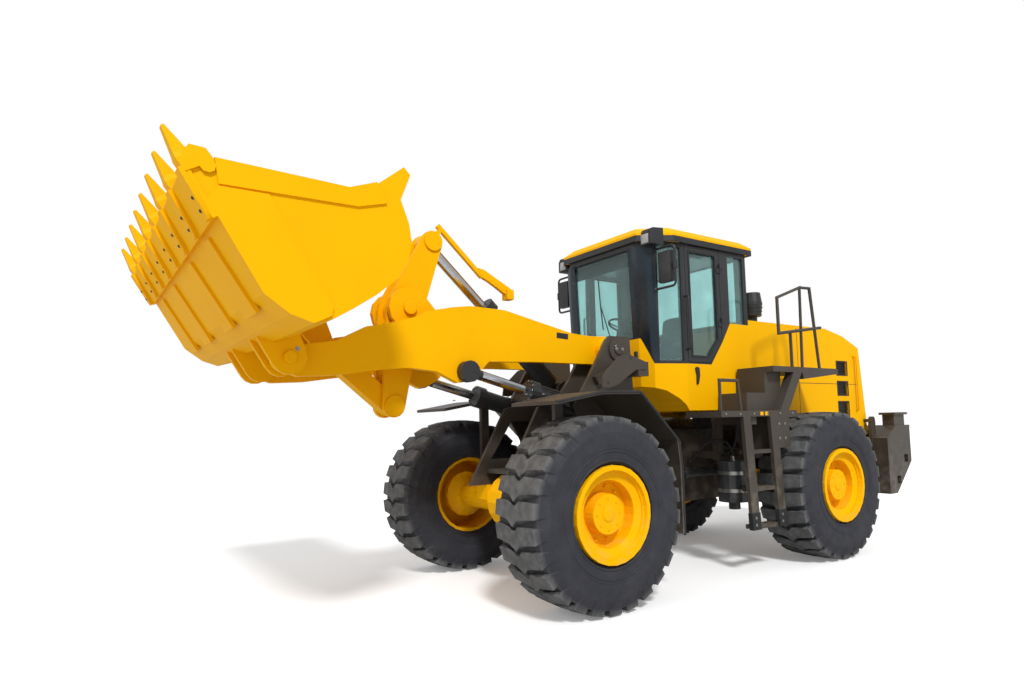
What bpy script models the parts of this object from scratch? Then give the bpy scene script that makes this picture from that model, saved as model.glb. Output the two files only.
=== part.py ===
# Wheel loader with a Z-bar arm, centre-pivot steering and a curled, raised bucket.
# Metres, +X forward, +Y left, +Z up, floor at z = 0.
# Machine coordinates start at the steering pivot, midway between the axles, on the floor.

import bpy
import bmesh
import math
from mathutils import Vector

TAU = 2 * math.pi

# Driving dimensions of the machine
WHEELBASE = 3.40
TRACK = 2.27
TYRE_RADIUS = 0.81
TYRE_WIDTH = 0.60
RIM_RADIUS = 0.40

# Clearances and plates
SEAT_GAP = 0.0003
RUN_GAP = 0.006
OVERRUN = 0.05
PLATE = 0.04
THIN_PLATE = 0.012
SHEET = 0.03

# Facets of the pins and their bores
PIN_SIDES = 20
SMALL_PIN_SIDES = 16

FRONT_AXLE_X = WHEELBASE / 2
REAR_AXLE_X = -WHEELBASE / 2
AXLE_Z = TYRE_RADIUS
WHEEL_Y = TRACK / 2

# Hinge points of the arm, in machine coordinates (x, z)
BOOM_PIVOT_X = 0.85
BOOM_PIVOT_Z = 2.28
BUCKET_PIN_X = 4.035
BUCKET_PIN_Z = 2.087
BOOM_LENGTH = math.hypot(BUCKET_PIN_X - BOOM_PIVOT_X, BUCKET_PIN_Z - BOOM_PIVOT_Z)
LIFT_EYE_X = 2.485
LIFT_EYE_Z = 2.026
LIFT_BASE_X = 0.76
LIFT_BASE_Z = 1.56
ROCKER_PIN_X = 2.921
ROCKER_PIN_Z = 2.591
ROCKER_TOP_X = 2.638
ROCKER_TOP_Z = 3.247
ROCKER_LOW_X = 3.028
ROCKER_LOW_Z = 1.741
TILT_BASE_X = 1.15
TILT_BASE_Z = 1.88
LINK_EAR_BACK = 0.05
LINK_EAR_UP = 0.42

# Side-to-side places of the arm
BOOM_INNER_Y = 0.345
BOOM_PLATE = 0.08
BOOM_OUTER_Y = BOOM_INNER_Y + BOOM_PLATE
BOOM_EYE_OUTER = 0.50
BOOM_NOSE_OUTER = 0.495
TOWER_INNER_Y = 0.27
TOWER_OUTER_Y = 0.57
LIFT_Y = 0.4725
LIFT_HALF = 0.042
TILT_HALF = 0.068
STEER_HALF = 0.03

# Steering cylinders, in plan
STEER_BASE_X = -0.75
STEER_BASE_Y = 0.62
STEER_EYE_X = 0.40
STEER_EYE_Y = 0.50
STEER_Z = 1.00

# Bucket and its teeth
BUCKET_WIDTH = 3.00
BUCKET_DEPTH = 1.22
BUCKET_WALL = 0.03
BUCKET_CURL = math.radians(59)
LIP_SHARE = 0.984
FLOOR_SHARE = -0.180
EDGE_PLATE = 0.03
TOOTH_COUNT = 8
TOOTH_END = 0.03
TOOTH_PITCH = (BUCKET_WIDTH - 2 * TOOTH_END) / (TOOTH_COUNT - 1)
TOOTH_WIDTH = 0.10
TOOTH_REACH = 0.27
TIP_SHARE = 0.3

# Counterweight, front and rear
WEIGHT_FRONT_X = -3.42
WEIGHT_REAR_X = -4.02


def bucket_point(ahead, up):
    """A point of the level bucket, turned by its curl about the bucket pin."""
    x = BUCKET_PIN_X + ahead * math.cos(BUCKET_CURL) - up * math.sin(BUCKET_CURL)
    z = BUCKET_PIN_Z + ahead * math.sin(BUCKET_CURL) + up * math.cos(BUCKET_CURL)
    return (x, z)


def in_bucket(x, z):
    """A point of the machine as (ahead, up) of the level bucket."""
    dx = x - BUCKET_PIN_X
    dz = z - BUCKET_PIN_Z
    return (dx * math.cos(BUCKET_CURL) + dz * math.sin(BUCKET_CURL),
            dz * math.cos(BUCKET_CURL) - dx * math.sin(BUCKET_CURL))


# The frame's origin is under the middle of the machine, from the tooth tips to the counterweight
TIP_AHEAD = LIP_SHARE * BUCKET_DEPTH + SEAT_GAP + TOOTH_REACH
TIP_UP = FLOOR_SHARE * BUCKET_DEPTH - SEAT_GAP - EDGE_PLATE * TIP_SHARE
PIVOT_X = -(bucket_point(TIP_AHEAD, TIP_UP)[0] + WEIGHT_REAR_X) / 2

SIDES = (("left", 1), ("right", -1))
MATERIALS = {}
BODIES = {}


def clear_scene():
    """Remove whatever the open file holds."""
    for old in list(bpy.data.objects):
        bpy.data.objects.remove(old, do_unlink=True)


def material(name, colour, roughness, metallic=0.0):
    """One Principled material, made once."""
    if name not in MATERIALS:
        made = bpy.data.materials.new(name)
        made.use_nodes = True
        shader = made.node_tree.nodes["Principled BSDF"]
        shader.inputs["Base Color"].default_value = (*colour, 1.0)
        shader.inputs["Roughness"].default_value = roughness
        shader.inputs["Metallic"].default_value = metallic
        MATERIALS[name] = made
    return MATERIALS[name]


def yellow_paint():
    return material("yellow_paint", (0.85, 0.50, 0.01), 0.35)


def grey_paint():
    return material("grey_paint", (0.07, 0.065, 0.055), 0.5)


def dark_paint():
    return material("dark_paint", (0.025, 0.027, 0.03), 0.45)


def black_rubber():
    return material("black_rubber", (0.03, 0.032, 0.036), 0.8)


def chrome():
    return material("chrome", (0.8, 0.8, 0.82), 0.12, 1.0)


def tinted_glass():
    return material("tinted_glass", (0.35, 0.55, 0.58), 0.05)


def body(name, pivot=(0, 0, 0), parent=None, turn=0.0):
    """Make the empty of a moving body at its pivot.
    A body with a turn is drawn level, with its pivot at 0, and so is what hangs on it."""
    empty = bpy.data.objects.new(name + "_axis", None)
    bpy.context.scene.collection.objects.link(empty)
    place = Vector(pivot)
    if parent is None:
        empty.location = Vector((PIVOT_X, 0, 0)) + place
    else:
        empty.parent = BODIES[parent]["empty"]
        empty.location = place - BODIES[parent]["pivot"]
    empty.rotation_euler = (0, turn, 0)
    BODIES[name] = {"empty": empty, "pivot": Vector() if turn else place}


def from_bmesh(name, bm):
    """Close a bmesh into a linked object with its faces pointing out."""
    bmesh.ops.recalc_face_normals(bm, faces=bm.faces)
    mesh = bpy.data.meshes.new(name)
    bm.to_mesh(mesh)
    bm.free()
    made = bpy.data.objects.new(name, mesh)
    bpy.context.scene.collection.objects.link(made)
    return made


def skin(bm, rings):
    """Close a run of equal rings into a solid."""
    bm.faces.new(rings[0])
    bm.faces.new(rings[-1])
    count = len(rings[0])
    for low, high in zip(rings, rings[1:]):
        for k in range(count):
            m = (k + 1) % count
            bm.faces.new((low[k], low[m], high[m], high[k]))


def prism(outline, low, high, axis="Y"):
    """Extrude a closed outline between two places along an axis.
    The outline is (x, z) for Y, (x, y) for Z and (y, z) for X."""
    bm = bmesh.new()
    rings = []
    for depth in (low, high):
        if axis == "Y":
            ring = [bm.verts.new((u, depth, v)) for u, v in outline]
        elif axis == "Z":
            ring = [bm.verts.new((u, v, depth)) for u, v in outline]
        else:
            ring = [bm.verts.new((depth, u, v)) for u, v in outline]
        rings.append(ring)
    skin(bm, rings)
    return from_bmesh("prism", bm)


def box(x, y, z):
    """A box from three (low, high) spans."""
    outline = [(x[0], z[0]), (x[1], z[0]), (x[1], z[1]), (x[0], z[1])]
    return prism(outline, y[0], y[1])


def loft(levels):
    """A solid through (plan, height) levels whose plans have equal point counts."""
    bm = bmesh.new()
    skin(bm, [[bm.verts.new((x, y, z)) for x, y in plan] for plan, z in levels])
    return from_bmesh("loft", bm)


def rod(start, end, radius, sides=16, end_radius=None):
    """A round bar, or a cone, between two points."""
    a = Vector(start)
    b = Vector(end)
    along = (b - a).normalized()
    side = along.orthogonal().normalized()
    if abs(along.y) > abs(along.x) and abs(along.y) > abs(along.z):
        side = Vector((1, 0, 0))
    up = along.cross(side)
    bm = bmesh.new()
    rings = []
    for centre, r in ((a, radius), (b, radius if end_radius is None else end_radius)):
        ring = []
        for k in range(sides):
            turn = TAU * k / sides
            ring.append(bm.verts.new(centre + side * (r * math.cos(turn)) + up * (r * math.sin(turn))))
        rings.append(ring)
    skin(bm, rings)
    return from_bmesh("rod", bm)


def cross_rod(x, z, y, radius, sides=PIN_SIDES):
    """A round bar across the machine, between two sideways places."""
    return rod((x, y[0], z), (x, y[1], z), radius, sides)


def pin_bore(x, z, y, radius, sides=PIN_SIDES):
    """The hole for a pin across the machine, clear of the pin's corners as it turns."""
    return cross_rod(x, z, y, radius / math.cos(math.pi / sides) + SEAT_GAP, sides)


def turned(profile, centre, sides, start=0.0):
    """Turn a (radius, y) profile about the Y line through centre.
    A profile that starts and ends at radius 0 is closed by the axis."""
    bm = bmesh.new()
    x, y, z = centre
    poles = {i: bm.verts.new((x, y + w, z)) for i, (r, w) in enumerate(profile) if r == 0}
    rings = []
    for k in range(sides):
        turn = start + TAU * k / sides
        ring = []
        for i, (r, w) in enumerate(profile):
            if i in poles:
                ring.append(poles[i])
            else:
                ring.append(bm.verts.new((x + r * math.cos(turn), y + w, z + r * math.sin(turn))))
        rings.append(ring)
    count = len(profile)
    for k in range(sides):
        m = (k + 1) % sides
        for i in range(count):
            j = (i + 1) % count
            if i in poles and j in poles:
                continue
            corners = (rings[k][i], rings[k][j], rings[m][j], rings[m][i])
            bm.faces.new(list(dict.fromkeys(corners)))
    return from_bmesh("turned", bm)


def pipe(points, radius, sides=8):
    """A bent round tube along a list of points, swept with mitred corners."""
    path = [Vector(p) for p in points]
    last = len(path) - 1
    bm = bmesh.new()
    rings = []
    first = (path[1] - path[0]).normalized()
    side = first.orthogonal().normalized()
    for i, here in enumerate(path):
        into = (path[i] - path[i - 1]).normalized() if i > 0 else first
        out = (path[i + 1] - path[i]).normalized() if i < last else into
        normal = (into + out).normalized()
        side = (side - into * side.dot(into)).normalized()
        up = into.cross(side)
        ring = []
        for k in range(sides):
            turn = TAU * k / sides
            flat = side * (radius * math.cos(turn)) + up * (radius * math.sin(turn))
            slide = -flat.dot(normal) / into.dot(normal)
            ring.append(bm.verts.new(here + flat + into * slide))
        rings.append(ring)
        side = (side - out * side.dot(out)).normalized()
    skin(bm, rings)
    return from_bmesh("pipe", bm)


def arc(centre, radius, start, end, steps):
    """Points of an arc in a plane, degrees."""
    points = []
    for k in range(steps + 1):
        turn = math.radians(start + (end - start) * k / steps)
        points.append((centre[0] + radius * math.cos(turn), centre[1] + radius * math.sin(turn)))
    return points


def strap(a, ra, b, rb, steps=6):
    """Outline round two circles joined by their tangents."""
    dx = b[0] - a[0]
    dz = b[1] - a[1]
    heading = math.degrees(math.atan2(dz, dx))
    lean = math.degrees(math.acos((ra - rb) / math.hypot(dx, dz)))
    outline = arc(b, rb, heading - lean, heading + lean, steps)
    outline += arc(a, ra, heading + lean, heading + 360 - lean, steps)
    return outline


def inset(points, distance):
    """Move every side of a closed outline inwards by a distance."""
    pairs = list(zip(points, points[1:] + points[:1]))
    turn = 1 if sum(a[0] * b[1] - b[0] * a[1] for a, b in pairs) > 0 else -1
    lines = []
    for a, b in pairs:
        dx = b[0] - a[0]
        dy = b[1] - a[1]
        step = turn * distance / math.hypot(dx, dy)
        lines.append((a[0] - dy * step, a[1] + dx * step, dx, dy))
    moved = []
    for (ax, ay, adx, ady), (bx, by, bdx, bdy) in zip(lines[-1:] + lines[:-1], lines):
        share = ((bx - ax) * bdy - (by - ay) * bdx) / (adx * bdy - ady * bdx)
        moved.append((ax + adx * share, ay + ady * share))
    return moved


def spread(shares, origin, size):
    """Place a table of (along, up) shares of one size from an origin."""
    return [(origin[0] + u * size, origin[1] + v * size) for u, v in shares]


def span(side, low, high):
    """A (low, high) span on the left, or its mirror on the right."""
    return (low, high) if side > 0 else (-high, -low)


def combine(first, others, operation):
    """Union, difference or overlap of solids, applied to the first one's mesh."""
    if not others:
        return first
    group = bpy.data.collections.new("operands")
    bpy.context.scene.collection.children.link(group)
    for other in others:
        group.objects.link(other)
    step = first.modifiers.new("combine", "BOOLEAN")
    step.operation = operation
    step.operand_type = "COLLECTION"
    step.collection = group
    step.solver = "EXACT"
    bpy.context.view_layer.update()
    graph = bpy.context.evaluated_depsgraph_get()
    mesh = bpy.data.meshes.new_from_object(first.evaluated_get(graph))
    first.modifiers.clear()
    old = first.data
    first.data = mesh
    bpy.data.meshes.remove(old)
    for other in others:
        bpy.data.objects.remove(other, do_unlink=True)
    bpy.data.collections.remove(group)
    return first


def sub_part(name, pieces, finish, owner, cuts=(), smooth=30):
    """Fuse pieces, cut them and hang the result on its body."""
    solid = combine(pieces[0], list(pieces[1:]), "UNION")
    solid = combine(solid, list(cuts), "DIFFERENCE")
    solid.name = name
    solid.data.name = name
    solid.data.materials.clear()
    solid.data.materials.append(finish)
    solid.data.shade_smooth()
    solid.data.set_sharp_from_angle(angle=math.radians(smooth))
    solid.parent = BODIES[owner]["empty"]
    solid.location = -BODIES[owner]["pivot"]
    return solid


# Tyres: one run of cross lugs, each with a shallow V at the middle of the tread
LUGS = 26
LUG_DEPTH = 0.045
DRAFT_SHARE = 0.05
# place across the tread: half width share, radius share, turn and half lug width in lug pitches
TREAD_SHARES = {"middle": (0, 1.0, 0, 0.36), "bend": (0.24, 1.0, 0.30, 0.37),
                "shoulder": (0.86, 0.972, 0.34, 0.31), "fade": (0.985, 0.66, 0.34, 0.20)}
# side wall rings: half width share, radius share
WALL_SHARES = ((1.0, 0.42), (0.93, 0.10), (0.80, 0))
PITCH = TAU / LUGS
# the edge of one lug stands on the floor
TREAD_START = -math.pi / 2 - PITCH * TREAD_SHARES["middle"][3]
BEAD_START = TREAD_START + PITCH * TREAD_SHARES["fade"][2]


def tyre_point(bm, centre, side, turn, width_share, radius_share, depth=0.0):
    r = RIM_RADIUS + radius_share * (TYRE_RADIUS - RIM_RADIUS) - depth
    y = side * width_share * TYRE_WIDTH / 2
    return bm.verts.new((centre[0] + r * math.cos(turn), centre[1] + y, centre[2] + r * math.sin(turn)))


def tread_points(bm, centre):
    """Corners of the lugs' tops and of the grooves' floors, by lug, edge, side and place."""
    tops = {}
    floors = {}
    for j in range(LUGS):
        for edge in (-1, 1):
            for place, (width, radius, turn, half) in TREAD_SHARES.items():
                angle = TREAD_START + PITCH * (j + turn + edge * half)
                low_angle = angle + PITCH * edge * DRAFT_SHARE
                for side in (1, -1):
                    key = (j, edge, side, place)
                    if place == "middle" and side < 0:
                        tops[key] = tops[j, edge, 1, place]
                        floors[key] = floors[j, edge, 1, place]
                        continue
                    tops[key] = tyre_point(bm, centre, side, angle, width, radius)
                    if place in ("middle", "shoulder"):
                        floors[key] = tyre_point(bm, centre, side, low_angle, width, radius, LUG_DEPTH)
    return tops, floors


def make_tyre(centre):
    """Carcass, lugs and grooves as one closed skin."""
    bm = bmesh.new()
    tops, floors = tread_points(bm, centre)
    walls = {}
    for side in (1, -1):
        for ring, (width, radius) in enumerate(WALL_SHARES):
            for j in range(LUGS):
                walls[side, ring, j] = tyre_point(bm, centre, side, BEAD_START + PITCH * j, width, radius)
    places = list(TREAD_SHARES)
    toe = len(WALL_SHARES) - 1
    for j in range(LUGS):
        after = (j + 1) % LUGS
        for side in (1, -1):
            for a, b in zip(places, places[1:]):
                bm.faces.new([tops[j, -1, side, a], tops[j, 1, side, a], tops[j, 1, side, b], tops[j, -1, side, b]])
            for edge in (-1, 1):
                middle, bend, shoulder, fade = [tops[j, edge, side, place] for place in places]
                low_middle = floors[j, edge, side, "middle"]
                low_shoulder = floors[j, edge, side, "shoulder"]
                bm.faces.new((fade, shoulder, low_shoulder))
                bm.faces.new((shoulder, bend, low_shoulder))
                bm.faces.new((bend, low_middle, low_shoulder))
                bm.faces.new((bend, middle, low_middle))
            near = [floors[j, 1, side, "middle"], floors[j, 1, side, "shoulder"], tops[j, 1, side, "fade"]]
            far = [floors[after, -1, side, "middle"], floors[after, -1, side, "shoulder"],
                   tops[after, -1, side, "fade"]]
            for k in range(2):
                bm.faces.new((near[k], far[k], far[k + 1], near[k + 1]))
            bm.faces.new((walls[side, 0, j], tops[j, -1, side, "fade"], near[2]))
            bm.faces.new((walls[side, 0, j], near[2], far[2], walls[side, 0, after]))
            for ring in range(toe):
                bm.faces.new((walls[side, ring, j], walls[side, ring, after],
                              walls[side, ring + 1, after], walls[side, ring + 1, j]))
        bm.faces.new((walls[1, toe, j], walls[1, toe, after], walls[-1, toe, after], walls[-1, toe, j]))
    return from_bmesh("tyre", bm)


# Rims: (share of the rim radius, share of half the tyre width outwards), from hub cap to hub back
HUB_BACK_SHARE = -0.17
RIM_SHARES = ((0, 0.70), (0.41, 0.70), (0.43, 0.33), (0.675, 0.37), (0.69, 0.73), (0.875, 0.80), (0.90, 0.97),
              (1.0, 0.97), (1.0, -0.80), (0.925, -0.80), (0.925, 0.42), (0.50, 0.12), (0.40, HUB_BACK_SHARE),
              (0, HUB_BACK_SHARE))


def make_rim(centre, side):
    radius = RIM_RADIUS - SEAT_GAP
    profile = [(r * radius, side * w * TYRE_WIDTH / 2) for r, w in RIM_SHARES]
    return turned(profile, centre, LUGS, BEAD_START)


def build_wheels():
    for end, axle_x, owner in (("front", FRONT_AXLE_X, "front_frame"), ("rear", REAR_AXLE_X, "rear_frame")):
        for word, side in SIDES:
            centre = (axle_x, side * WHEEL_Y, AXLE_Z)
            wheel = "wheel_" + end + "_" + word
            body(wheel, centre, owner)
            sub_part("tyre_" + end + "_" + word, [make_tyre(centre)], black_rubber(), wheel)
            sub_part("rim_" + end + "_" + word, [make_rim(centre, side)], yellow_paint(), wheel)


# Axles: a bowl in the middle, tubes, and brake drums inside the rims
AXLE_SIDES = 16
AXLE_BOWL_RADIUS = 0.27
AXLE_BOWL_HALF = 0.10
AXLE_TUBE_RADIUS = 0.13
AXLE_CONE_Y = 0.25
DRUM_RADIUS = 0.24
DRUM_WIDTH = 0.07
SPINDLE_RADIUS = 0.15
SPINDLE_LENGTH = 0.04
AXLE_END_Y = WHEEL_Y + HUB_BACK_SHARE * TYRE_WIDTH / 2 - SEAT_GAP
AXLE_PAD_X = 0.17
AXLE_PAD_Y = (0.26, 0.46)
AXLE_PAD_RISE = 0.02
AXLE_PAD_TOP_Z = AXLE_Z + AXLE_TUBE_RADIUS + AXLE_PAD_RISE


def make_axle(axle_x):
    drum_y = AXLE_END_Y - SPINDLE_LENGTH
    half = [(0, AXLE_END_Y), (SPINDLE_RADIUS, AXLE_END_Y), (SPINDLE_RADIUS, drum_y), (DRUM_RADIUS, drum_y),
            (DRUM_RADIUS, drum_y - DRUM_WIDTH), (AXLE_TUBE_RADIUS, drum_y - DRUM_WIDTH - DRUM_WIDTH),
            (AXLE_TUBE_RADIUS, AXLE_CONE_Y), (AXLE_BOWL_RADIUS, AXLE_BOWL_HALF)]
    profile = half + [(r, -y) for r, y in reversed(half)]
    return turned(profile, (axle_x, 0, AXLE_Z), AXLE_SIDES)


# Steering hinge: two flat lugs of the front frame, each between two of the rear frame
PIVOT_PIN_RADIUS = 0.06
PIVOT_SIDES = 24
LUG_RADIUS = 0.15
LUG_PLATE = 0.06
LUG_REACH = 0.36
LUG_GAP = 0.008
UPPER_LUG_Z = 1.28
LOWER_LUG_Z = 0.74
STEER_EAR_RADIUS = 0.055
STEER_EAR_PLATE = 0.024
STEER_PIN_RADIUS = 0.025


def hinge_lug(x_end, z_low):
    """A flat lug with a round end about the steering pivot."""
    forward = x_end > 0
    outline = arc((0, 0), LUG_RADIUS, 90, 270, 10) if forward else arc((0, 0), LUG_RADIUS, -90, 90, 10)
    half = LUG_RADIUS if forward else -LUG_RADIUS
    outline += [(x_end, -half), (x_end, half)]
    return prism(outline, z_low, z_low + LUG_PLATE, "Z")


def steering_ears(x, y, root_y):
    """Two flat ears above and below a steering cylinder's eye."""
    ears = []
    outline = [(x - STEER_EAR_RADIUS, root_y), (x + STEER_EAR_RADIUS, root_y)]
    outline += arc((x, y), STEER_EAR_RADIUS, 0, 180 if y > root_y else -180, 8)
    reach = STEER_HALF + RUN_GAP
    for z_low in (STEER_Z - reach - STEER_EAR_PLATE, STEER_Z + reach):
        ears.append(prism(outline, z_low, z_low + STEER_EAR_PLATE, "Z"))
    return ears


# Front frame: inner plates whose struts stand on the axle, and the outer plates of the tower
FRONT_BELLY_Z = 0.62
FRONT_DECK_Z = 1.42
FRAME_BOX_REAR = 0.28
SADDLE_REAR_X = 1.52
SADDLE_Z = AXLE_Z + AXLE_BOWL_RADIUS + SEAT_GAP
STRUT_FOOT_X = 2.06
STRUT_TOP_X = 1.62
STRUT_TOP_Z = 1.72
TOWER_FOOT_X = 1.42
TOWER_SHOULDER_X = 1.24
TOWER_SHOULDER_Z = 1.98
TOWER_TOP_FRONT_X = 0.99
TOWER_TOP_Z = 2.41
TOWER_REAR_X = 0.68
INNER_REAR_X = 0.75
TOWER_HEEL_Z = 1.60
OUTER_FOOT_Z = 1.30
OUTER_REAR_X = 0.64
OUTER_FLOOR_X = 1.15
WINDOW_INSET = 0.13
BOOM_BOSS_RADIUS = 0.12
BOOM_PIN_RADIUS = 0.055
TOWER_CAP = 0.02
LIFT_BOSS_RADIUS = 0.065
LIFT_PIN_RADIUS = 0.035
TILT_EAR_INNER = 0.107
TILT_EAR_PLATE = 0.045
TILT_EAR_RADIUS = 0.11
TILT_EAR_FOOT_X = 1.22
TILT_BOSS_RADIUS = 0.075
TILT_PIN_RADIUS = 0.04
TILT_WEB_Z = 1.50


def tower_outlines():
    """Inner and outer side plates of the front frame, and the window in the inner ones."""
    head = [(TOWER_SHOULDER_X, TOWER_SHOULDER_Z), (TOWER_TOP_FRONT_X, TOWER_TOP_Z - PLATE),
            (TOWER_TOP_FRONT_X - PLATE, TOWER_TOP_Z)]
    foot_z = AXLE_PAD_TOP_Z + SEAT_GAP
    inner = [(FRAME_BOX_REAR, FRONT_BELLY_Z), (SADDLE_REAR_X, FRONT_BELLY_Z), (SADDLE_REAR_X, foot_z),
             (STRUT_FOOT_X, foot_z), (STRUT_TOP_X, STRUT_TOP_Z), (TOWER_FOOT_X, STRUT_TOP_Z + PLATE)]
    inner += head + [(INNER_REAR_X, TOWER_TOP_Z), (INNER_REAR_X, TOWER_HEEL_Z), (TOWER_REAR_X, TOWER_HEEL_Z),
                     (FRAME_BOX_REAR, FRONT_DECK_Z)]
    outer = [(OUTER_REAR_X, OUTER_FOOT_Z - PLATE), (OUTER_FLOOR_X, OUTER_FOOT_Z - PLATE),
             (TOWER_FOOT_X, STRUT_TOP_Z)]
    outer += head + [(TOWER_REAR_X, TOWER_TOP_Z), (OUTER_REAR_X, TOWER_HEEL_Z)]
    window = inset([(OUTER_FLOOR_X, SADDLE_Z), (STRUT_FOOT_X, SADDLE_Z), (STRUT_TOP_X, STRUT_TOP_Z),
                    (OUTER_FLOOR_X, STRUT_TOP_Z)], WINDOW_INSET)
    return inner, outer, window


def tower_pieces(side):
    """Plates, bosses and pins on one side of the front frame."""
    inner_outline, outer_outline, window = tower_outlines()
    mid_inner = TOWER_INNER_Y + PLATE / 2
    mid_outer = TOWER_OUTER_Y + PLATE / 2
    pieces = [prism(inner_outline, *span(side, TOWER_INNER_Y, TOWER_INNER_Y + PLATE)),
              prism(outer_outline, *span(side, TOWER_OUTER_Y, TOWER_OUTER_Y + PLATE))]
    pocket = span(side, TOWER_INNER_Y, TOWER_OUTER_Y + PLATE)
    pieces.append(box((OUTER_REAR_X, OUTER_FLOOR_X), pocket, (OUTER_FOOT_Z - PLATE, OUTER_FOOT_Z)))
    pieces.append(box((OUTER_REAR_X, OUTER_REAR_X + THIN_PLATE), pocket, (OUTER_FOOT_Z - PLATE, TOWER_HEEL_Z)))
    pieces.append(box((SADDLE_REAR_X, FRONT_AXLE_X + AXLE_PAD_X), span(side, TOWER_INNER_Y, AXLE_PAD_Y[1]),
                      (AXLE_PAD_TOP_Z + SEAT_GAP, AXLE_PAD_TOP_Z + PLATE)))
    # x, z, inner boss, outer boss, boss radius, pin radius
    pins = ((BOOM_PIVOT_X, BOOM_PIVOT_Z, (mid_inner, BOOM_INNER_Y - RUN_GAP),
             (BOOM_EYE_OUTER + RUN_GAP, TOWER_OUTER_Y + PLATE + TOWER_CAP), BOOM_BOSS_RADIUS, BOOM_PIN_RADIUS),
            (LIFT_BASE_X, LIFT_BASE_Z, (mid_inner, LIFT_Y - LIFT_HALF - RUN_GAP / 2),
             (LIFT_Y + LIFT_HALF + RUN_GAP / 2, mid_outer), LIFT_BOSS_RADIUS, LIFT_PIN_RADIUS))
    for x, z, low, high, boss, pin in pins:
        pieces.append(cross_rod(x, z, span(side, *low), boss))
        pieces.append(cross_rod(x, z, span(side, *high), boss))
        pieces.append(cross_rod(x, z, span(side, low[0], high[1]), pin))
    ear = strap((TILT_BASE_X, TILT_BASE_Z), TILT_EAR_RADIUS, (TILT_EAR_FOOT_X, SADDLE_Z), TILT_EAR_RADIUS)
    pieces.append(prism(ear, *span(side, TILT_EAR_INNER, TILT_EAR_INNER + TILT_EAR_PLATE)))
    boss_y = span(side, TILT_HALF + RUN_GAP / 2, TILT_EAR_INNER + TILT_EAR_PLATE / 2)
    pieces.append(cross_rod(TILT_BASE_X, TILT_BASE_Z, boss_y, TILT_BOSS_RADIUS))
    pieces += steering_ears(STEER_EYE_X, side * STEER_EYE_Y, side * mid_inner)
    return pieces, prism(window, *span(side, TOWER_INNER_Y - OVERRUN, TOWER_INNER_Y + PLATE + OVERRUN))


def build_front_frame():
    body("front_frame", (0, 0, 0), "rear_frame")
    wide = (-TOWER_INNER_Y - PLATE / 2, TOWER_INNER_Y + PLATE / 2)
    bore = PIVOT_PIN_RADIUS / math.cos(math.pi / PIVOT_SIDES) + SEAT_GAP
    cuts = [rod((0, 0, 0), (0, 0, BOOM_PIVOT_Z), bore, PIVOT_SIDES)]
    pieces = []
    for word, side in SIDES:
        plates, window = tower_pieces(side)
        pieces += plates
        cuts.append(window)
    pin_reach = TILT_EAR_INNER + TILT_EAR_PLATE / 2
    pieces.append(cross_rod(TILT_BASE_X, TILT_BASE_Z, (-pin_reach, pin_reach), TILT_PIN_RADIUS))
    web_x = TILT_EAR_FOOT_X - TILT_EAR_RADIUS
    # cross plates: x span, z span
    plates = (((FRAME_BOX_REAR, FRONT_AXLE_X - AXLE_BOWL_RADIUS - PLATE), (FRONT_BELLY_Z, FRONT_BELLY_Z + PLATE)),
              ((FRAME_BOX_REAR, TOWER_REAR_X + PLATE), (FRONT_DECK_Z, FRONT_DECK_Z + PLATE)),
              ((FRAME_BOX_REAR, FRAME_BOX_REAR + PLATE), (FRONT_BELLY_Z, FRONT_DECK_Z + PLATE)),
              ((OUTER_FLOOR_X, FRONT_AXLE_X + AXLE_PAD_X), (SADDLE_Z, SADDLE_Z + PLATE)),
              ((TOWER_REAR_X, TOWER_REAR_X + PLATE), (FRONT_DECK_Z, TOWER_HEEL_Z + PLATE)),
              ((web_x, web_x + PLATE), (FRONT_BELLY_Z, TILT_WEB_Z)))
    for x, z in plates:
        pieces.append(box(x, wide, z))
    for z_low in (UPPER_LUG_Z, LOWER_LUG_Z):
        pieces.append(hinge_lug(LUG_REACH, z_low))
    sub_part("front_frame", pieces, grey_paint(), "front_frame", cuts)
    pad_x = (FRONT_AXLE_X - AXLE_PAD_X, FRONT_AXLE_X + AXLE_PAD_X)
    pads = [box(pad_x, span(side, *AXLE_PAD_Y), (AXLE_Z, AXLE_PAD_TOP_Z)) for word, side in SIDES]
    sub_part("front_axle", [make_axle(FRONT_AXLE_X)] + pads, yellow_paint(), "front_frame")


# Rear frame: two long rails, cross members and the steering hinge
RAIL_Y = 0.36
RAIL_LOW_Z = 0.80
RAIL_HIGH_Z = 1.22
RAIL_REAR_X = -3.50
RAIL_FRONT_X = -0.34
RAIL_BEND = 0.60
CROSS_BACK = 0.34
TRUNNION_RADIUS = 0.08
RAIL_ARCH_Z = AXLE_Z + AXLE_BOWL_RADIUS + SEAT_GAP
LUG_STEP = LUG_PLATE + LUG_GAP
CAB_HALF_WIDTH = 0.78
CAB_FLOOR_Z = 1.66
CAB_MOUNTS_X = (-0.45, -0.95)
MOUNT_DEPTH = 0.08
TANK_TOP_Z = 1.12


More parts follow.
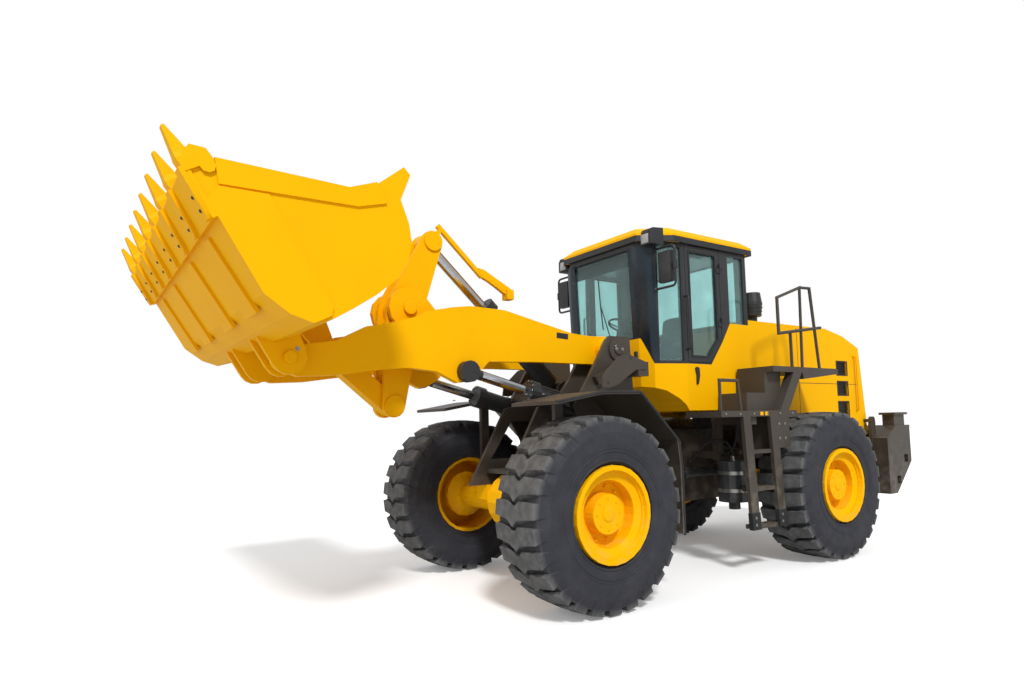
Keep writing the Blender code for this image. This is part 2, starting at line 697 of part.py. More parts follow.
def build_rear_frame():
    body("rear_frame")
    low_z = LOWER_LUG_Z - LUG_STEP
    high_z = UPPER_LUG_Z + LUG_STEP + LUG_PLATE
    rail = [(RAIL_FRONT_X, low_z), (RAIL_FRONT_X, high_z), (RAIL_FRONT_X - LUG_REACH, high_z - LUG_PLATE),
            (REAR_AXLE_X + RAIL_BEND, RAIL_HIGH_Z), (RAIL_REAR_X, RAIL_HIGH_Z), (RAIL_REAR_X, RAIL_LOW_Z),
            (REAR_AXLE_X - RAIL_BEND, RAIL_LOW_Z), (REAR_AXLE_X - AXLE_BOWL_RADIUS, RAIL_ARCH_Z),
            (REAR_AXLE_X + AXLE_BOWL_RADIUS, RAIL_ARCH_Z), (REAR_AXLE_X + RAIL_BEND, low_z)]
    wide = (-RAIL_Y - PLATE / 2, RAIL_Y + PLATE / 2)
    rear_cross_x = REAR_AXLE_X - CROSS_BACK
    front_cross_x = REAR_AXLE_X + CROSS_BACK
    pieces = [prism(rail, *span(side, RAIL_Y, RAIL_Y + PLATE)) for word, side in SIDES]
    # cross members: x span, z span
    crossings = (((RAIL_FRONT_X - PLATE, RAIL_FRONT_X), (low_z, high_z)),
                 ((RAIL_REAR_X, RAIL_REAR_X + PLATE), (RAIL_LOW_Z, RAIL_HIGH_Z)),
                 ((front_cross_x - PLATE, front_cross_x), (RAIL_ARCH_Z, RAIL_HIGH_Z)),
                 ((rear_cross_x, rear_cross_x + PLATE), (AXLE_Z - TRUNNION_RADIUS, RAIL_HIGH_Z)))
    for x, z in crossings:
        pieces.append(box(x, wide, z))
    pieces.append(rod((rear_cross_x + PLATE / 2, 0, AXLE_Z), (REAR_AXLE_X - AXLE_BOWL_RADIUS - SEAT_GAP, 0, AXLE_Z),
                      TRUNNION_RADIUS, 12))
    for z_low in (UPPER_LUG_Z, LOWER_LUG_Z):
        for step in (LUG_STEP, -LUG_STEP):
            pieces.append(hinge_lug(RAIL_FRONT_X - PLATE / 2, z_low + step))
        pieces.append(rod((0, 0, z_low - LUG_STEP), (0, 0, z_low + LUG_STEP + LUG_PLATE), PIVOT_PIN_RADIUS,
                          PIVOT_SIDES))
    pin_reach = STEER_HALF + RUN_GAP + STEER_EAR_PLATE / 2
    for word, side in SIDES:
        pieces += steering_ears(STEER_BASE_X, side * STEER_BASE_Y, side * (RAIL_Y + PLATE / 2))
        base = (STEER_BASE_X, side * STEER_BASE_Y)
        pieces.append(rod((*base, STEER_Z - pin_reach), (*base, STEER_Z + pin_reach), STEER_PIN_RADIUS,
                          SMALL_PIN_SIDES))
        bracket = span(side, RAIL_Y + PLATE / 2, CAB_HALF_WIDTH)
        post = span(side, CAB_HALF_WIDTH - MOUNT_DEPTH, CAB_HALF_WIDTH)
        for mount_x in CAB_MOUNTS_X:
            mount = (mount_x - PLATE, mount_x + PLATE)
            pieces.append(box(mount, bracket, (RAIL_HIGH_Z - MOUNT_DEPTH, RAIL_HIGH_Z)))
            pieces.append(box(mount, post, (TANK_TOP_Z + SEAT_GAP, CAB_FLOOR_Z - SEAT_GAP)))
    sub_part("rear_frame", pieces, grey_paint(), "rear_frame")
    sub_part("rear_axle", [make_axle(REAR_AXLE_X)], yellow_paint(), "rear_frame")


# Engine, radiator and driveline
ENGINE_X = (-2.60, -1.30)
ENGINE_Y = 0.34
ENGINE_TOP_Z = 2.10
RADIATOR_X = (-3.30, -3.00)
RADIATOR_Y = 0.60
RADIATOR_TOP_Z = 2.25
GEARBOX_X = (-1.05, -0.48)
GEARBOX_Y = 0.26
GEARBOX_Z = (0.70, 1.45)
SHAFT_RADIUS = 0.045


def build_driveline():
    rest_z = RAIL_HIGH_Z + SEAT_GAP
    engine = box(ENGINE_X, (-ENGINE_Y, ENGINE_Y), (rest_z, ENGINE_TOP_Z))
    feet = box(ENGINE_X, (-RAIL_Y - PLATE, RAIL_Y + PLATE), (rest_z, rest_z + PLATE))
    sub_part("engine", [engine, feet], dark_paint(), "rear_frame")
    radiator = box(RADIATOR_X, (-RADIATOR_Y, RADIATOR_Y), (rest_z, RADIATOR_TOP_Z))
    sub_part("radiator", [radiator], dark_paint(), "rear_frame")
    gearbox = box(GEARBOX_X, (-GEARBOX_Y, GEARBOX_Y), GEARBOX_Z)
    shaft_start = (REAR_AXLE_X + AXLE_BOWL_RADIUS + SEAT_GAP, 0, AXLE_Z)
    shaft = rod(shaft_start, (GEARBOX_X[0] + OVERRUN, 0, AXLE_Z), SHAFT_RADIUS, 12)
    ears = box(GEARBOX_X, (-RAIL_Y + SEAT_GAP, RAIL_Y - SEAT_GAP), (RAIL_HIGH_Z - PLATE, RAIL_HIGH_Z))
    sub_part("driveline", [gearbox, shaft, ears], dark_paint(), "rear_frame")


# Hood: a hollow shell hinged low at its rear, open below and in front
HOOD_FRONT_X = -1.06
HOOD_REAR_X = -3.54
HOOD_LOW_Z = 1.60
HOOD_TOP_Z = 2.69
HOOD_HALF_WIDTH = 0.74
HOOD_PIVOT_X = -3.46
HOOD_PIVOT_Z = 1.50
HOOD_PIN_RADIUS = 0.022
# hood side: (share of its length from the front, share of its height)
HOOD_SIDE_SHARES = ((0, 0), (0, 1.0), (0.64, 1.0), (0.80, 0.93), (0.95, 0.80), (1.0, -0.26), (0.80, -0.26), (0.62, 0))
LOUVRE_X = (-3.107, -2.867)
LOUVRE_TOP_Z = 2.274
LOUVRE_HEIGHT = 0.17
LOUVRE_PITCH = 0.262
LOUVRES = 3
HANDLE_X = -3.28
HANDLE_Z = (1.62, 2.38)
HANDLE_REACH = 0.045
HANDLE_RADIUS = 0.014
GRILLE_Y = 0.60
GRILLE_Z = (1.42, 2.30)
GRILLE_BARS = 12
GRILLE_BAR = 0.02
PRECLEANER_X = -1.63
PRECLEANER_Y = 0.40
STEM_HEIGHT = 0.13
BOWL_HEIGHT = 0.17
CAP_HEIGHT = 0.12
STEM_RADIUS = 0.06
BOWL_RADIUS = 0.11
CAP_RADIUS = 0.13


def hood_outline():
    length = HOOD_REAR_X - HOOD_FRONT_X
    height = HOOD_TOP_Z - HOOD_LOW_Z
    return [(HOOD_FRONT_X + u * length, HOOD_LOW_Z + v * height) for u, v in HOOD_SIDE_SHARES]


def hood_rear_x(z):
    """Where the hood's sloping rear face is at a height."""
    top, foot = hood_outline()[4:6]
    return foot[0] + (z - foot[1]) * (top[0] - foot[0]) / (top[1] - foot[1])


def build_hood():
    body("hood", (HOOD_PIVOT_X, 0, HOOD_PIVOT_Z), "rear_frame")
    outline = hood_outline()
    inner_half = HOOD_HALF_WIDTH - SHEET
    inside = inset(outline, SHEET)
    foot_z = outline[5][1] - OVERRUN
    hollow = [(HOOD_FRONT_X + OVERRUN, HOOD_LOW_Z - OVERRUN), (HOOD_FRONT_X + OVERRUN, inside[1][1])]
    hollow += inside[2:5] + [(hood_rear_x(foot_z) + SHEET, foot_z), (inside[6][0], foot_z),
                             (inside[7][0], HOOD_LOW_Z - OVERRUN)]
    mouth_x = (HOOD_REAR_X - OVERRUN, hood_rear_x(GRILLE_Z[1]) + OVERRUN)
    pieces = [prism(outline, -HOOD_HALF_WIDTH, HOOD_HALF_WIDTH)]
    cuts = [prism(hollow, -inner_half, inner_half), box(mouth_x, (-GRILLE_Y, GRILLE_Y), GRILLE_Z)]
    for word, side in SIDES:
        wall = span(side, inner_half - OVERRUN, HOOD_HALF_WIDTH + OVERRUN)
        for k in range(LOUVRES):
            top = LOUVRE_TOP_Z - k * LOUVRE_PITCH
            cuts.append(box(LOUVRE_X, wall, (top - LOUVRE_HEIGHT, top)))
        cuts.append(pin_bore(HOOD_PIVOT_X, HOOD_PIVOT_Z, wall, HOOD_PIN_RADIUS, SMALL_PIN_SIDES))
        root_y = side * (HOOD_HALF_WIDTH - SHEET / 2)
        out_y = side * (HOOD_HALF_WIDTH + HANDLE_REACH)
        path = [(HANDLE_X, root_y, HANDLE_Z[0]), (HANDLE_X, out_y, HANDLE_Z[0] + HANDLE_REACH),
                (HANDLE_X, out_y, HANDLE_Z[1] - HANDLE_REACH), (HANDLE_X, root_y, HANDLE_Z[1])]
        pieces.append(pipe(path, HANDLE_RADIUS, 6))
    sub_part("hood", pieces, yellow_paint(), "hood", cuts)
    build_grille()
    build_precleaner()


def build_grille():
    """Level bars between two upright sides, set in the mouth of the hood."""
    inside = GRILLE_Y - SEAT_GAP
    low = GRILLE_Z[0] + SEAT_GAP
    high = GRILLE_Z[1] - SEAT_GAP

    def slice_outline(z_low, z_high):
        return [(hood_rear_x(z_low), z_low), (hood_rear_x(z_high), z_high),
                (hood_rear_x(z_high) + SHEET, z_high), (hood_rear_x(z_low) + SHEET, z_low)]

    pieces = [prism(slice_outline(low, high), *span(side, inside - SHEET, inside)) for word, side in SIDES]
    step = (high - low - GRILLE_BAR) / (GRILLE_BARS - 1)
    reach = inside - SHEET / 2
    for k in range(GRILLE_BARS):
        z = low + k * step
        pieces.append(prism(slice_outline(z, z + GRILLE_BAR), -reach, reach))
    sub_part("grille", pieces, dark_paint(), "hood")


def build_precleaner():
    x, y = PRECLEANER_X, PRECLEANER_Y
    foot = HOOD_TOP_Z + SEAT_GAP
    bowl = foot + STEM_HEIGHT
    rim = bowl + BOWL_HEIGHT
    stem = rod((x, y, foot), (x, y, bowl + OVERRUN), STEM_RADIUS, 12)
    bowl_part = rod((x, y, bowl), (x, y, rim), BOWL_RADIUS, 16, CAP_RADIUS)
    cap = rod((x, y, rim - OVERRUN / 2), (x, y, rim + CAP_HEIGHT), CAP_RADIUS, 16, BOWL_RADIUS)
    sub_part("precleaner", [stem, bowl_part, cap], dark_paint(), "hood")


# Counterweight: wings beside the hood, sockets in its sides and a flanged post on each wing
WEIGHT_Y = 1.05
WEIGHT_LOW_Z = 0.55
WEIGHT_TOP_Z = 1.43
WEIGHT_SHOULDER_Z = 1.27
WEIGHT_HEEL_Z = 0.95
WEIGHT_HEEL_X = -3.60
WEIGHT_WING_Y = 0.82
WEIGHT_TAIL_GAP = 0.03
HINGE_EAR_RADIUS = 0.055
POST_X = (-3.93, -3.66)
POST_Y = (0.88, 1.03)
POST_TOP_Z = 1.60
POST_FLANGE = 0.03
# sockets: (x middle, z middle)
SOCKETS = ((-3.88, 0.99), (-3.66, 0.72))
SOCKET_HALF = 0.05
SOCKET_DEPTH = 0.12


def build_counterweight():
    outline = [(WEIGHT_FRONT_X, WEIGHT_LOW_Z), (WEIGHT_HEEL_X, WEIGHT_LOW_Z), (WEIGHT_REAR_X, WEIGHT_HEEL_Z),
               (WEIGHT_REAR_X, WEIGHT_TOP_Z), (POST_X[1], WEIGHT_TOP_Z), (WEIGHT_FRONT_X, WEIGHT_SHOULDER_Z)]
    ear = strap((HOOD_PIVOT_X, HOOD_PIVOT_Z), HINGE_EAR_RADIUS,
                (HOOD_PIVOT_X, WEIGHT_SHOULDER_Z - HINGE_EAR_RADIUS), HINGE_EAR_RADIUS, 5)
    pieces = [prism(outline, -WEIGHT_Y, WEIGHT_Y)]
    wing = (-WEIGHT_WING_Y, WEIGHT_WING_Y)
    tail_x = HOOD_REAR_X - WEIGHT_TAIL_GAP
    cuts = [box((RAIL_REAR_X - SEAT_GAP, 0), wing, (0, POST_TOP_Z)),
            box((tail_x, 0), wing, (WEIGHT_SHOULDER_Z - PLATE, POST_TOP_Z))]
    hinges = []
    for word, side in SIDES:
        pieces.append(box(POST_X, span(side, *POST_Y), (WEIGHT_TOP_Z - OVERRUN, POST_TOP_Z)))
        flange_x = (POST_X[0] - POST_FLANGE, POST_X[1] + POST_FLANGE)
        flange_y = span(side, POST_Y[0] - POST_FLANGE, POST_Y[1] + POST_FLANGE)
        pieces.append(box(flange_x, flange_y, (POST_TOP_Z - POST_FLANGE, POST_TOP_Z)))
        for x, z in SOCKETS:
            deep = span(side, WEIGHT_Y - SOCKET_DEPTH, WEIGHT_Y + OVERRUN)
            cuts.append(box((x - SOCKET_HALF, x + SOCKET_HALF), deep, (z - SOCKET_HALF, z + SOCKET_HALF)))
        hinges.append(prism(ear, *span(side, WEIGHT_WING_Y, WEIGHT_WING_Y + PLATE)))
        pin_y = span(side, HOOD_HALF_WIDTH - SHEET, WEIGHT_WING_Y + PLATE / 2)
        hinges.append(cross_rod(HOOD_PIVOT_X, HOOD_PIVOT_Z, pin_y, HOOD_PIN_RADIUS, SMALL_PIN_SIDES))
    weight = combine(combine(pieces[0], pieces[1:], "UNION"), cuts, "DIFFERENCE")
    sub_part("counterweight", [weight] + hinges, grey_paint(), "rear_frame")


# Cab: a yellow body with a raised nose and rear quarters, and a dark window frame on it
CAB_FRONT_X = 0.45
CAB_NOSE_Y = 0.52
CAB_CORNER_X = 0.38
CAB_CORNER_Y = 0.655
CAB_TAPER_X = 0.03
CAB_REAR_X = -1.02
CAB_SILL_Z = 2.15
CAB_NOSE_Z = 2.42
CAB_EAVES_Z = 3.44
CAB_ROOF_Z = 3.59
CAB_WALL = 0.05
CAB_POST = 0.06
CAB_SHEET = 0.15
REAR_SILL_Z = 2.62
WINDOW_TOP_Z = 3.38
NOSE_LEAN = 0.05
DOOR_X = (-0.55, 0.0)
DOOR_Z = (2.17, 3.42)
DOOR_HEEL_X = -0.345
DOOR_KNEE_Z = 2.41
DOOR_SLACK = 0.012
QUARTER_TOP_X = -0.70
# wheel arch in the front of the cab body: (share of its length, share of its height)
ARCH_SHARES = ((0, 0), (0.12, 0.24), (0.28, 0.50), (0.56, 0.80), (1.0, 1.0), (1.0, 0))
ARCH_X = (0.0, 0.46)
ARCH_Z = 1.92
ROOF_FRONT_X = 0.53
ROOF_NOSE_Y = 0.60
ROOF_HALF = 0.81
ROOF_TAPER_X = 0.18
ROOF_REAR_X = -1.10
ROOF_CROWN_INSET = 0.09
LAMP_POD_X = (0.37, 0.48)
LAMP_POD_Y = (0.62, 0.74)
LAMP_POD_Z = (3.38, 3.52)
GLASS = 0.008
GLASS_SET = 0.02
KNUCKLE_RADIUS = 0.012
KNUCKLE_HEIGHT = 0.05
KNUCKLE_LEAF = 0.06
HINGES_Z = (2.62, 3.22)
DOOR_AXIS_X = DOOR_X[0] - RUN_GAP / 2
DOOR_AXIS_Y = CAB_HALF_WIDTH + KNUCKLE_RADIUS + SEAT_GAP


def cab_plan(inset_by, lean=0.0):
    """Plan of the cab, with its walls set in and its nose moved forward."""
    half = [(CAB_REAR_X + inset_by, CAB_HALF_WIDTH - inset_by), (CAB_TAPER_X, CAB_HALF_WIDTH - inset_by),
            (CAB_CORNER_X + lean - inset_by / 2, CAB_CORNER_Y - inset_by),
            (CAB_FRONT_X + lean - inset_by, CAB_NOSE_Y - inset_by)]
    return half + [(x, -y) for x, y in reversed(half)]


def cab_volume(inset_by, low_z, high_z):
    """The cab's outline as a solid: upright to the sill, with a leaning nose above."""
    return loft([(cab_plan(inset_by), low_z), (cab_plan(inset_by), CAB_SILL_Z),
                 (cab_plan(inset_by, NOSE_LEAN), high_z)])


def cab_side_y(x, z):
    """How far out the cab's tapering front side is at a place."""
    corner_x = CAB_CORNER_X + NOSE_LEAN * (z - CAB_SILL_Z) / (CAB_EAVES_Z - CAB_SILL_Z)
    return CAB_HALF_WIDTH - (CAB_HALF_WIDTH - CAB_CORNER_Y) * (x - CAB_TAPER_X) / (corner_x - CAB_TAPER_X)


def roof_plan(inset_by):
    half = [(ROOF_REAR_X + inset_by, ROOF_HALF - inset_by), (ROOF_TAPER_X, ROOF_HALF - inset_by),
            (ROOF_FRONT_X - inset_by, ROOF_NOSE_Y - inset_by)]
    return half + [(x, -y) for x, y in reversed(half)]


def door_outline():
    return [(DOOR_HEEL_X, DOOR_Z[0]), (DOOR_X[1], DOOR_Z[0]), (DOOR_X[1], DOOR_Z[1]), (DOOR_X[0], DOOR_Z[1]),
            (DOOR_X[0], DOOR_KNEE_Z)]


def cab_body_outline():
    """Side view of the yellow body: nose, sill under the door and raised rear quarter."""
    front = CAB_FRONT_X + CAB_SHEET
    rear = CAB_REAR_X - CAB_SHEET
    low = CAB_FLOOR_Z - CAB_SHEET
    return [(rear, low), (front, low), (front, CAB_NOSE_Z), (CAB_FRONT_X, CAB_NOSE_Z), (CAB_CORNER_X, CAB_SILL_Z),
            (DOOR_HEEL_X - DOOR_SLACK, CAB_SILL_Z), (DOOR_X[0] - DOOR_SLACK, DOOR_KNEE_Z),
            (QUARTER_TOP_X, REAR_SILL_Z), (rear, REAR_SILL_Z)]


def build_cab_body():
    width = CAB_HALF_WIDTH + OVERRUN
    shell = cab_volume(0, CAB_FLOOR_Z, CAB_EAVES_Z)
    shell = combine(shell, [prism(cab_body_outline(), -width, width)], "INTERSECT")
    inner_y = CAB_HALF_WIDTH - CAB_WALL
    arch_length = ARCH_X[1] - ARCH_X[0]
    arch_height = ARCH_Z - CAB_FLOOR_Z
    arch = [(ARCH_X[0] + u * arch_length, CAB_FLOOR_Z + v * arch_height) for u, v in ARCH_SHARES]
    arch[0] = (ARCH_X[0], CAB_FLOOR_Z - OVERRUN)
    arch[-1] = (ARCH_X[1], CAB_FLOOR_Z - OVERRUN)
    cuts = [box((CAB_REAR_X + CAB_WALL, ARCH_X[0] - CAB_WALL), (-inner_y, inner_y),
                (CAB_FLOOR_Z + CAB_WALL, CAB_EAVES_Z)),
            cab_volume(CAB_WALL, ARCH_Z + CAB_WALL, CAB_EAVES_Z),
            prism(arch, -width, width)]
    sub_part("cab_body", [shell], yellow_paint(), "rear_frame", cuts)


def build_cab_frame():
    width = CAB_HALF_WIDTH + OVERRUN
    pieces = [cab_volume(0, CAB_FLOOR_Z, CAB_EAVES_Z)]
    cuts = [cab_volume(CAB_WALL, CAB_FLOOR_Z - OVERRUN, CAB_EAVES_Z - CAB_WALL),
            prism(inset(cab_body_outline(), -SEAT_GAP), -width, width),
            box((0, CAB_FRONT_X + CAB_SHEET), (-CAB_NOSE_Y + CAB_POST, CAB_NOSE_Y - CAB_POST),
                (CAB_SILL_Z, WINDOW_TOP_Z)),
            box((CAB_REAR_X - OVERRUN, CAB_REAR_X + CAB_WALL + OVERRUN), (-CAB_CORNER_Y, CAB_CORNER_Y),
                (CAB_SILL_Z, WINDOW_TOP_Z))]
    for word, side in SIDES:
        wall = span(side, CAB_CORNER_Y - CAB_SHEET, width)
        cuts.append(box((CAB_TAPER_X + CAB_POST / 2, CAB_CORNER_X - CAB_POST), wall,
                        (CAB_SILL_Z + CAB_POST / 2, WINDOW_TOP_Z)))
        cuts.append(box((CAB_REAR_X + CAB_POST, QUARTER_TOP_X), wall, (REAR_SILL_Z - OVERRUN, WINDOW_TOP_Z)))
        cuts.append(prism(inset(door_outline(), -RUN_GAP if side > 0 else CAB_POST), *wall))
        pieces.append(box(LAMP_POD_X, span(side, *LAMP_POD_Y), LAMP_POD_Z))
    frame = combine(combine(pieces[0], pieces[1:], "UNION"), cuts, "DIFFERENCE")
    hinges = []
    for z in HINGES_Z:
        leaf_x = (DOOR_AXIS_X - KNUCKLE_LEAF, DOOR_AXIS_X - RUN_GAP / 2)
        hinges.append(box(leaf_x, (CAB_HALF_WIDTH - THIN_PLATE, DOOR_AXIS_Y), (z + SEAT_GAP, z + KNUCKLE_HEIGHT)))
        hinges.append(rod((DOOR_AXIS_X, DOOR_AXIS_Y, z + SEAT_GAP), (DOOR_AXIS_X, DOOR_AXIS_Y, z + KNUCKLE_HEIGHT),
                          KNUCKLE_RADIUS, 8))
    sub_part("cab_frame", [frame] + hinges, dark_paint(), "rear_frame")


def build_roof_and_glass():
    foot = CAB_EAVES_Z + SEAT_GAP
    mid = (foot + CAB_ROOF_Z) / 2
    roof = loft([(roof_plan(0), foot), (roof_plan(0), mid), (roof_plan(ROOF_CROWN_INSET), CAB_ROOF_Z)])
    pods = []
    for word, side in SIDES:
        y = span(side, LAMP_POD_Y[0] - SEAT_GAP, LAMP_POD_Y[1] + SEAT_GAP)
        pods.append(box((LAMP_POD_X[0] - SEAT_GAP, LAMP_POD_X[1] + SEAT_GAP), y,
                        (LAMP_POD_Z[0], LAMP_POD_Z[1] + SEAT_GAP)))
    sub_part("cab_roof", [roof], yellow_paint(), "rear_frame", pods)
    lean = NOSE_LEAN / (CAB_EAVES_Z - CAB_SILL_Z)
    low = CAB_NOSE_Z + SEAT_GAP
    high = WINDOW_TOP_Z - SEAT_GAP
    glass = []
    for set_back, z in ((GLASS_SET, low), (GLASS_SET, high), (GLASS_SET + GLASS, high), (GLASS_SET + GLASS, low)):
        glass.append((CAB_FRONT_X - set_back + lean * (z - CAB_SILL_Z), z))
    glass_half = CAB_NOSE_Y - CAB_POST - SEAT_GAP
    sub_part("windshield", [prism(glass, -glass_half, glass_half)], tinted_glass(), "rear_frame")


def build_door():
    body("door", (DOOR_AXIS_X, DOOR_AXIS_Y, 0), "rear_frame")
    outline = door_outline()
    leaf = prism(outline, CAB_HALF_WIDTH - CAB_WALL, CAB_HALF_WIDTH)
    leaf = combine(leaf, [prism(inset(outline, CAB_POST), 0, CAB_HALF_WIDTH + OVERRUN)], "DIFFERENCE")
    hinges = []
    for z in HINGES_Z:
        leaf_x = (DOOR_AXIS_X + RUN_GAP / 2, DOOR_AXIS_X + KNUCKLE_LEAF)
        hinges.append(box(leaf_x, (CAB_HALF_WIDTH - THIN_PLATE, DOOR_AXIS_Y), (z - KNUCKLE_HEIGHT, z)))
        hinges.append(rod((DOOR_AXIS_X, DOOR_AXIS_Y, z - KNUCKLE_HEIGHT), (DOOR_AXIS_X, DOOR_AXIS_Y, z),
                          KNUCKLE_RADIUS, 8))
    sub_part("cab_door", [leaf] + hinges, dark_paint(), "door")


# Mirrors on tube arms at the front corners
MIRROR_ARM_X = 0.34
MIRROR_REACH = 0.04
MIRROR_ARM_Y = CAB_HALF_WIDTH + MIRROR_REACH
MIRROR_ARM_Z = (2.92, 3.34)
MIRROR_ARM_RADIUS = 0.012
MIRROR_X = (0.31, 0.37)
MIRROR_INNER = 0.075
MIRROR_OUTER = 0.095
MIRROR_FOOT = 0.05
MIRROR_Y = (MIRROR_ARM_Y - MIRROR_INNER, MIRROR_ARM_Y + MIRROR_OUTER)
MIRROR_Z = (MIRROR_ARM_Z[0] + MIRROR_FOOT, MIRROR_ARM_Z[1] - MIRROR_FOOT)


def build_mirrors():
    x = MIRROR_ARM_X
    for word, side in SIDES:
        low_root = side * (cab_side_y(x - MIRROR_ARM_RADIUS, MIRROR_ARM_Z[0]) + SEAT_GAP)
        high_root = side * (cab_side_y(x - MIRROR_ARM_RADIUS, MIRROR_ARM_Z[1]) + SEAT_GAP)
        y = side * MIRROR_ARM_Y
        arm = pipe([(x, low_root, MIRROR_ARM_Z[0]), (x, y, MIRROR_ARM_Z[0]), (x, y, MIRROR_ARM_Z[1]),
                    (x, high_root, MIRROR_ARM_Z[1])], MIRROR_ARM_RADIUS, 6)
        head = box(MIRROR_X, span(side, *MIRROR_Y), MIRROR_Z)
        sub_part("mirror_" + word, [arm, head], dark_paint(), "rear_frame")


# Cab inside
SEAT_X = (-0.72, -0.22)
SEAT_Y = 0.25
SEAT_Z = 2.18
SEAT_CUSHION = 0.10
SEAT_BACK = 0.65
CONSOLE_X = 0.22
CONSOLE_Z = 2.45
CONSOLE_RADIUS = 0.05
CONSOLE_FOOT_Z = ARCH_Z + CAB_WALL + SEAT_GAP
WHEEL_RING_RADIUS = 0.17


def build_cab_inside():
    floor = CAB_FLOOR_Z + CAB_WALL + SEAT_GAP
    stand = box((SEAT_X[0] + OVERRUN, SEAT_X[1] - OVERRUN), (-SEAT_Y / 2, SEAT_Y / 2), (floor, SEAT_Z))
    cushion = box(SEAT_X, (-SEAT_Y, SEAT_Y), (SEAT_Z - OVERRUN, SEAT_Z + SEAT_CUSHION))
    back = box((SEAT_X[0], SEAT_X[0] + SEAT_CUSHION), (-SEAT_Y, SEAT_Y), (SEAT_Z, SEAT_Z + SEAT_BACK))
    sub_part("seat", [stand, cushion, back], dark_paint(), "rear_frame")
    column = rod((CONSOLE_X, 0, CONSOLE_FOOT_Z), (CONSOLE_X, 0, CONSOLE_Z), CONSOLE_RADIUS, 12)
    ring = rod((CONSOLE_X, 0, CONSOLE_Z - THIN_PLATE), (CONSOLE_X, 0, CONSOLE_Z + THIN_PLATE),
               WHEEL_RING_RADIUS, 16)
    sub_part("steering_console", [column, ring], dark_paint(), "rear_frame")


# Decks: platform, steps, upper deck on a slanting channel, ladder and rails
DECK_GAP = 0.03
DECK_Y = (CAB_HALF_WIDTH + DECK_GAP, 1.26)
PLATFORM_X = (-1.13, 0.12)
PLATFORM_Z = (1.58, 1.64)
STAIR_X = (-0.41, -0.73)
STAIR_Z = 1.83
STAIR_OUTER_Y = 1.16
UPPER_DECK_X = (-1.98, -0.75)
UPPER_DECK_Z = (2.05, 2.11)
LEG_X = (-0.98, -0.72)
LEG_LOW_Z = 1.25
CHANNEL_RUN = 0.32
CHANNEL_WIDTH = 0.15
CHANNEL_Y = 1.16
ARM_DROP = 0.07
LADDER_TOP_X = -0.21
LADDER_LOW_X = -0.29
LADDER_DEPTH = 0.44
LADDER_LOW_Z = 0.45
STRINGER = 0.12
LADDER_STEPS = 3
STEP_TREAD = 0.14
RAIL_TUBE = 0.018
RAIL_OUT_Y = 1.22
LOW_RAIL_TOP_Z = 1.945
LOW_RAIL_X = (-0.20, 0.08)
# upper rail: (x, z)
MID_RAIL_REAR = (-1.74, 2.58)
MID_RAIL_FRONT = (-0.94, 2.47)
TOP_RAIL_FRONT = (-0.94, 2.86)
TOP_RAIL_MIDDLE = (-1.37, 3.01)
TOP_RAIL_REAR = (-1.56, 3.02)
POSTS_X = (-1.34, -1.68)
SHORT_POST_X = -1.15


def make_ladder(side):
    """Two stringers and the treads between them."""
    pieces = []
    stringer_y = span(side, DECK_Y[1] - PLATE, DECK_Y[1])
    for offset in (0, -LADDER_DEPTH):
        top = LADDER_TOP_X + offset
        low = LADDER_LOW_X + offset
        outline = [(low - STRINGER, LADDER_LOW_Z), (low, LADDER_LOW_Z), (top, PLATFORM_Z[1]),
                   (top - STRINGER, PLATFORM_Z[1])]
        pieces.append(prism(outline, *stringer_y))
    tread_y = span(side, DECK_Y[1] - STEP_TREAD, DECK_Y[1] - PLATE / 2)
    for k in range(LADDER_STEPS):
        share = k / LADDER_STEPS
        x = LADDER_LOW_X + (LADDER_TOP_X - LADDER_LOW_X) * share - STRINGER / 2
        z = LADDER_LOW_Z + (PLATFORM_Z[0] - LADDER_LOW_Z) * share
        pieces.append(box((x - LADDER_DEPTH, x), tread_y, (z, z + PLATE)))
    return pieces


def make_rails(side):
    y = side * RAIL_OUT_Y
    foot = PLATFORM_Z[0] + PLATE / 2
    high_foot = UPPER_DECK_Z[0] + PLATE / 2
    rails = ([(LOW_RAIL_X[1], foot), (LOW_RAIL_X[1], LOW_RAIL_TOP_Z), (LOW_RAIL_X[0], LOW_RAIL_TOP_Z),
              (LOW_RAIL_X[0] - PLATE, foot)],
             [MID_RAIL_REAR, MID_RAIL_FRONT, TOP_RAIL_FRONT, TOP_RAIL_MIDDLE, (POSTS_X[0], high_foot)],
             [TOP_RAIL_MIDDLE, TOP_RAIL_REAR, (POSTS_X[1], high_foot)],
             [(SHORT_POST_X, MID_RAIL_FRONT[1] + RAIL_TUBE), (SHORT_POST_X, high_foot)])
    return [pipe([(x, y, z) for x, z in rail], RAIL_TUBE, 6) for rail in rails]


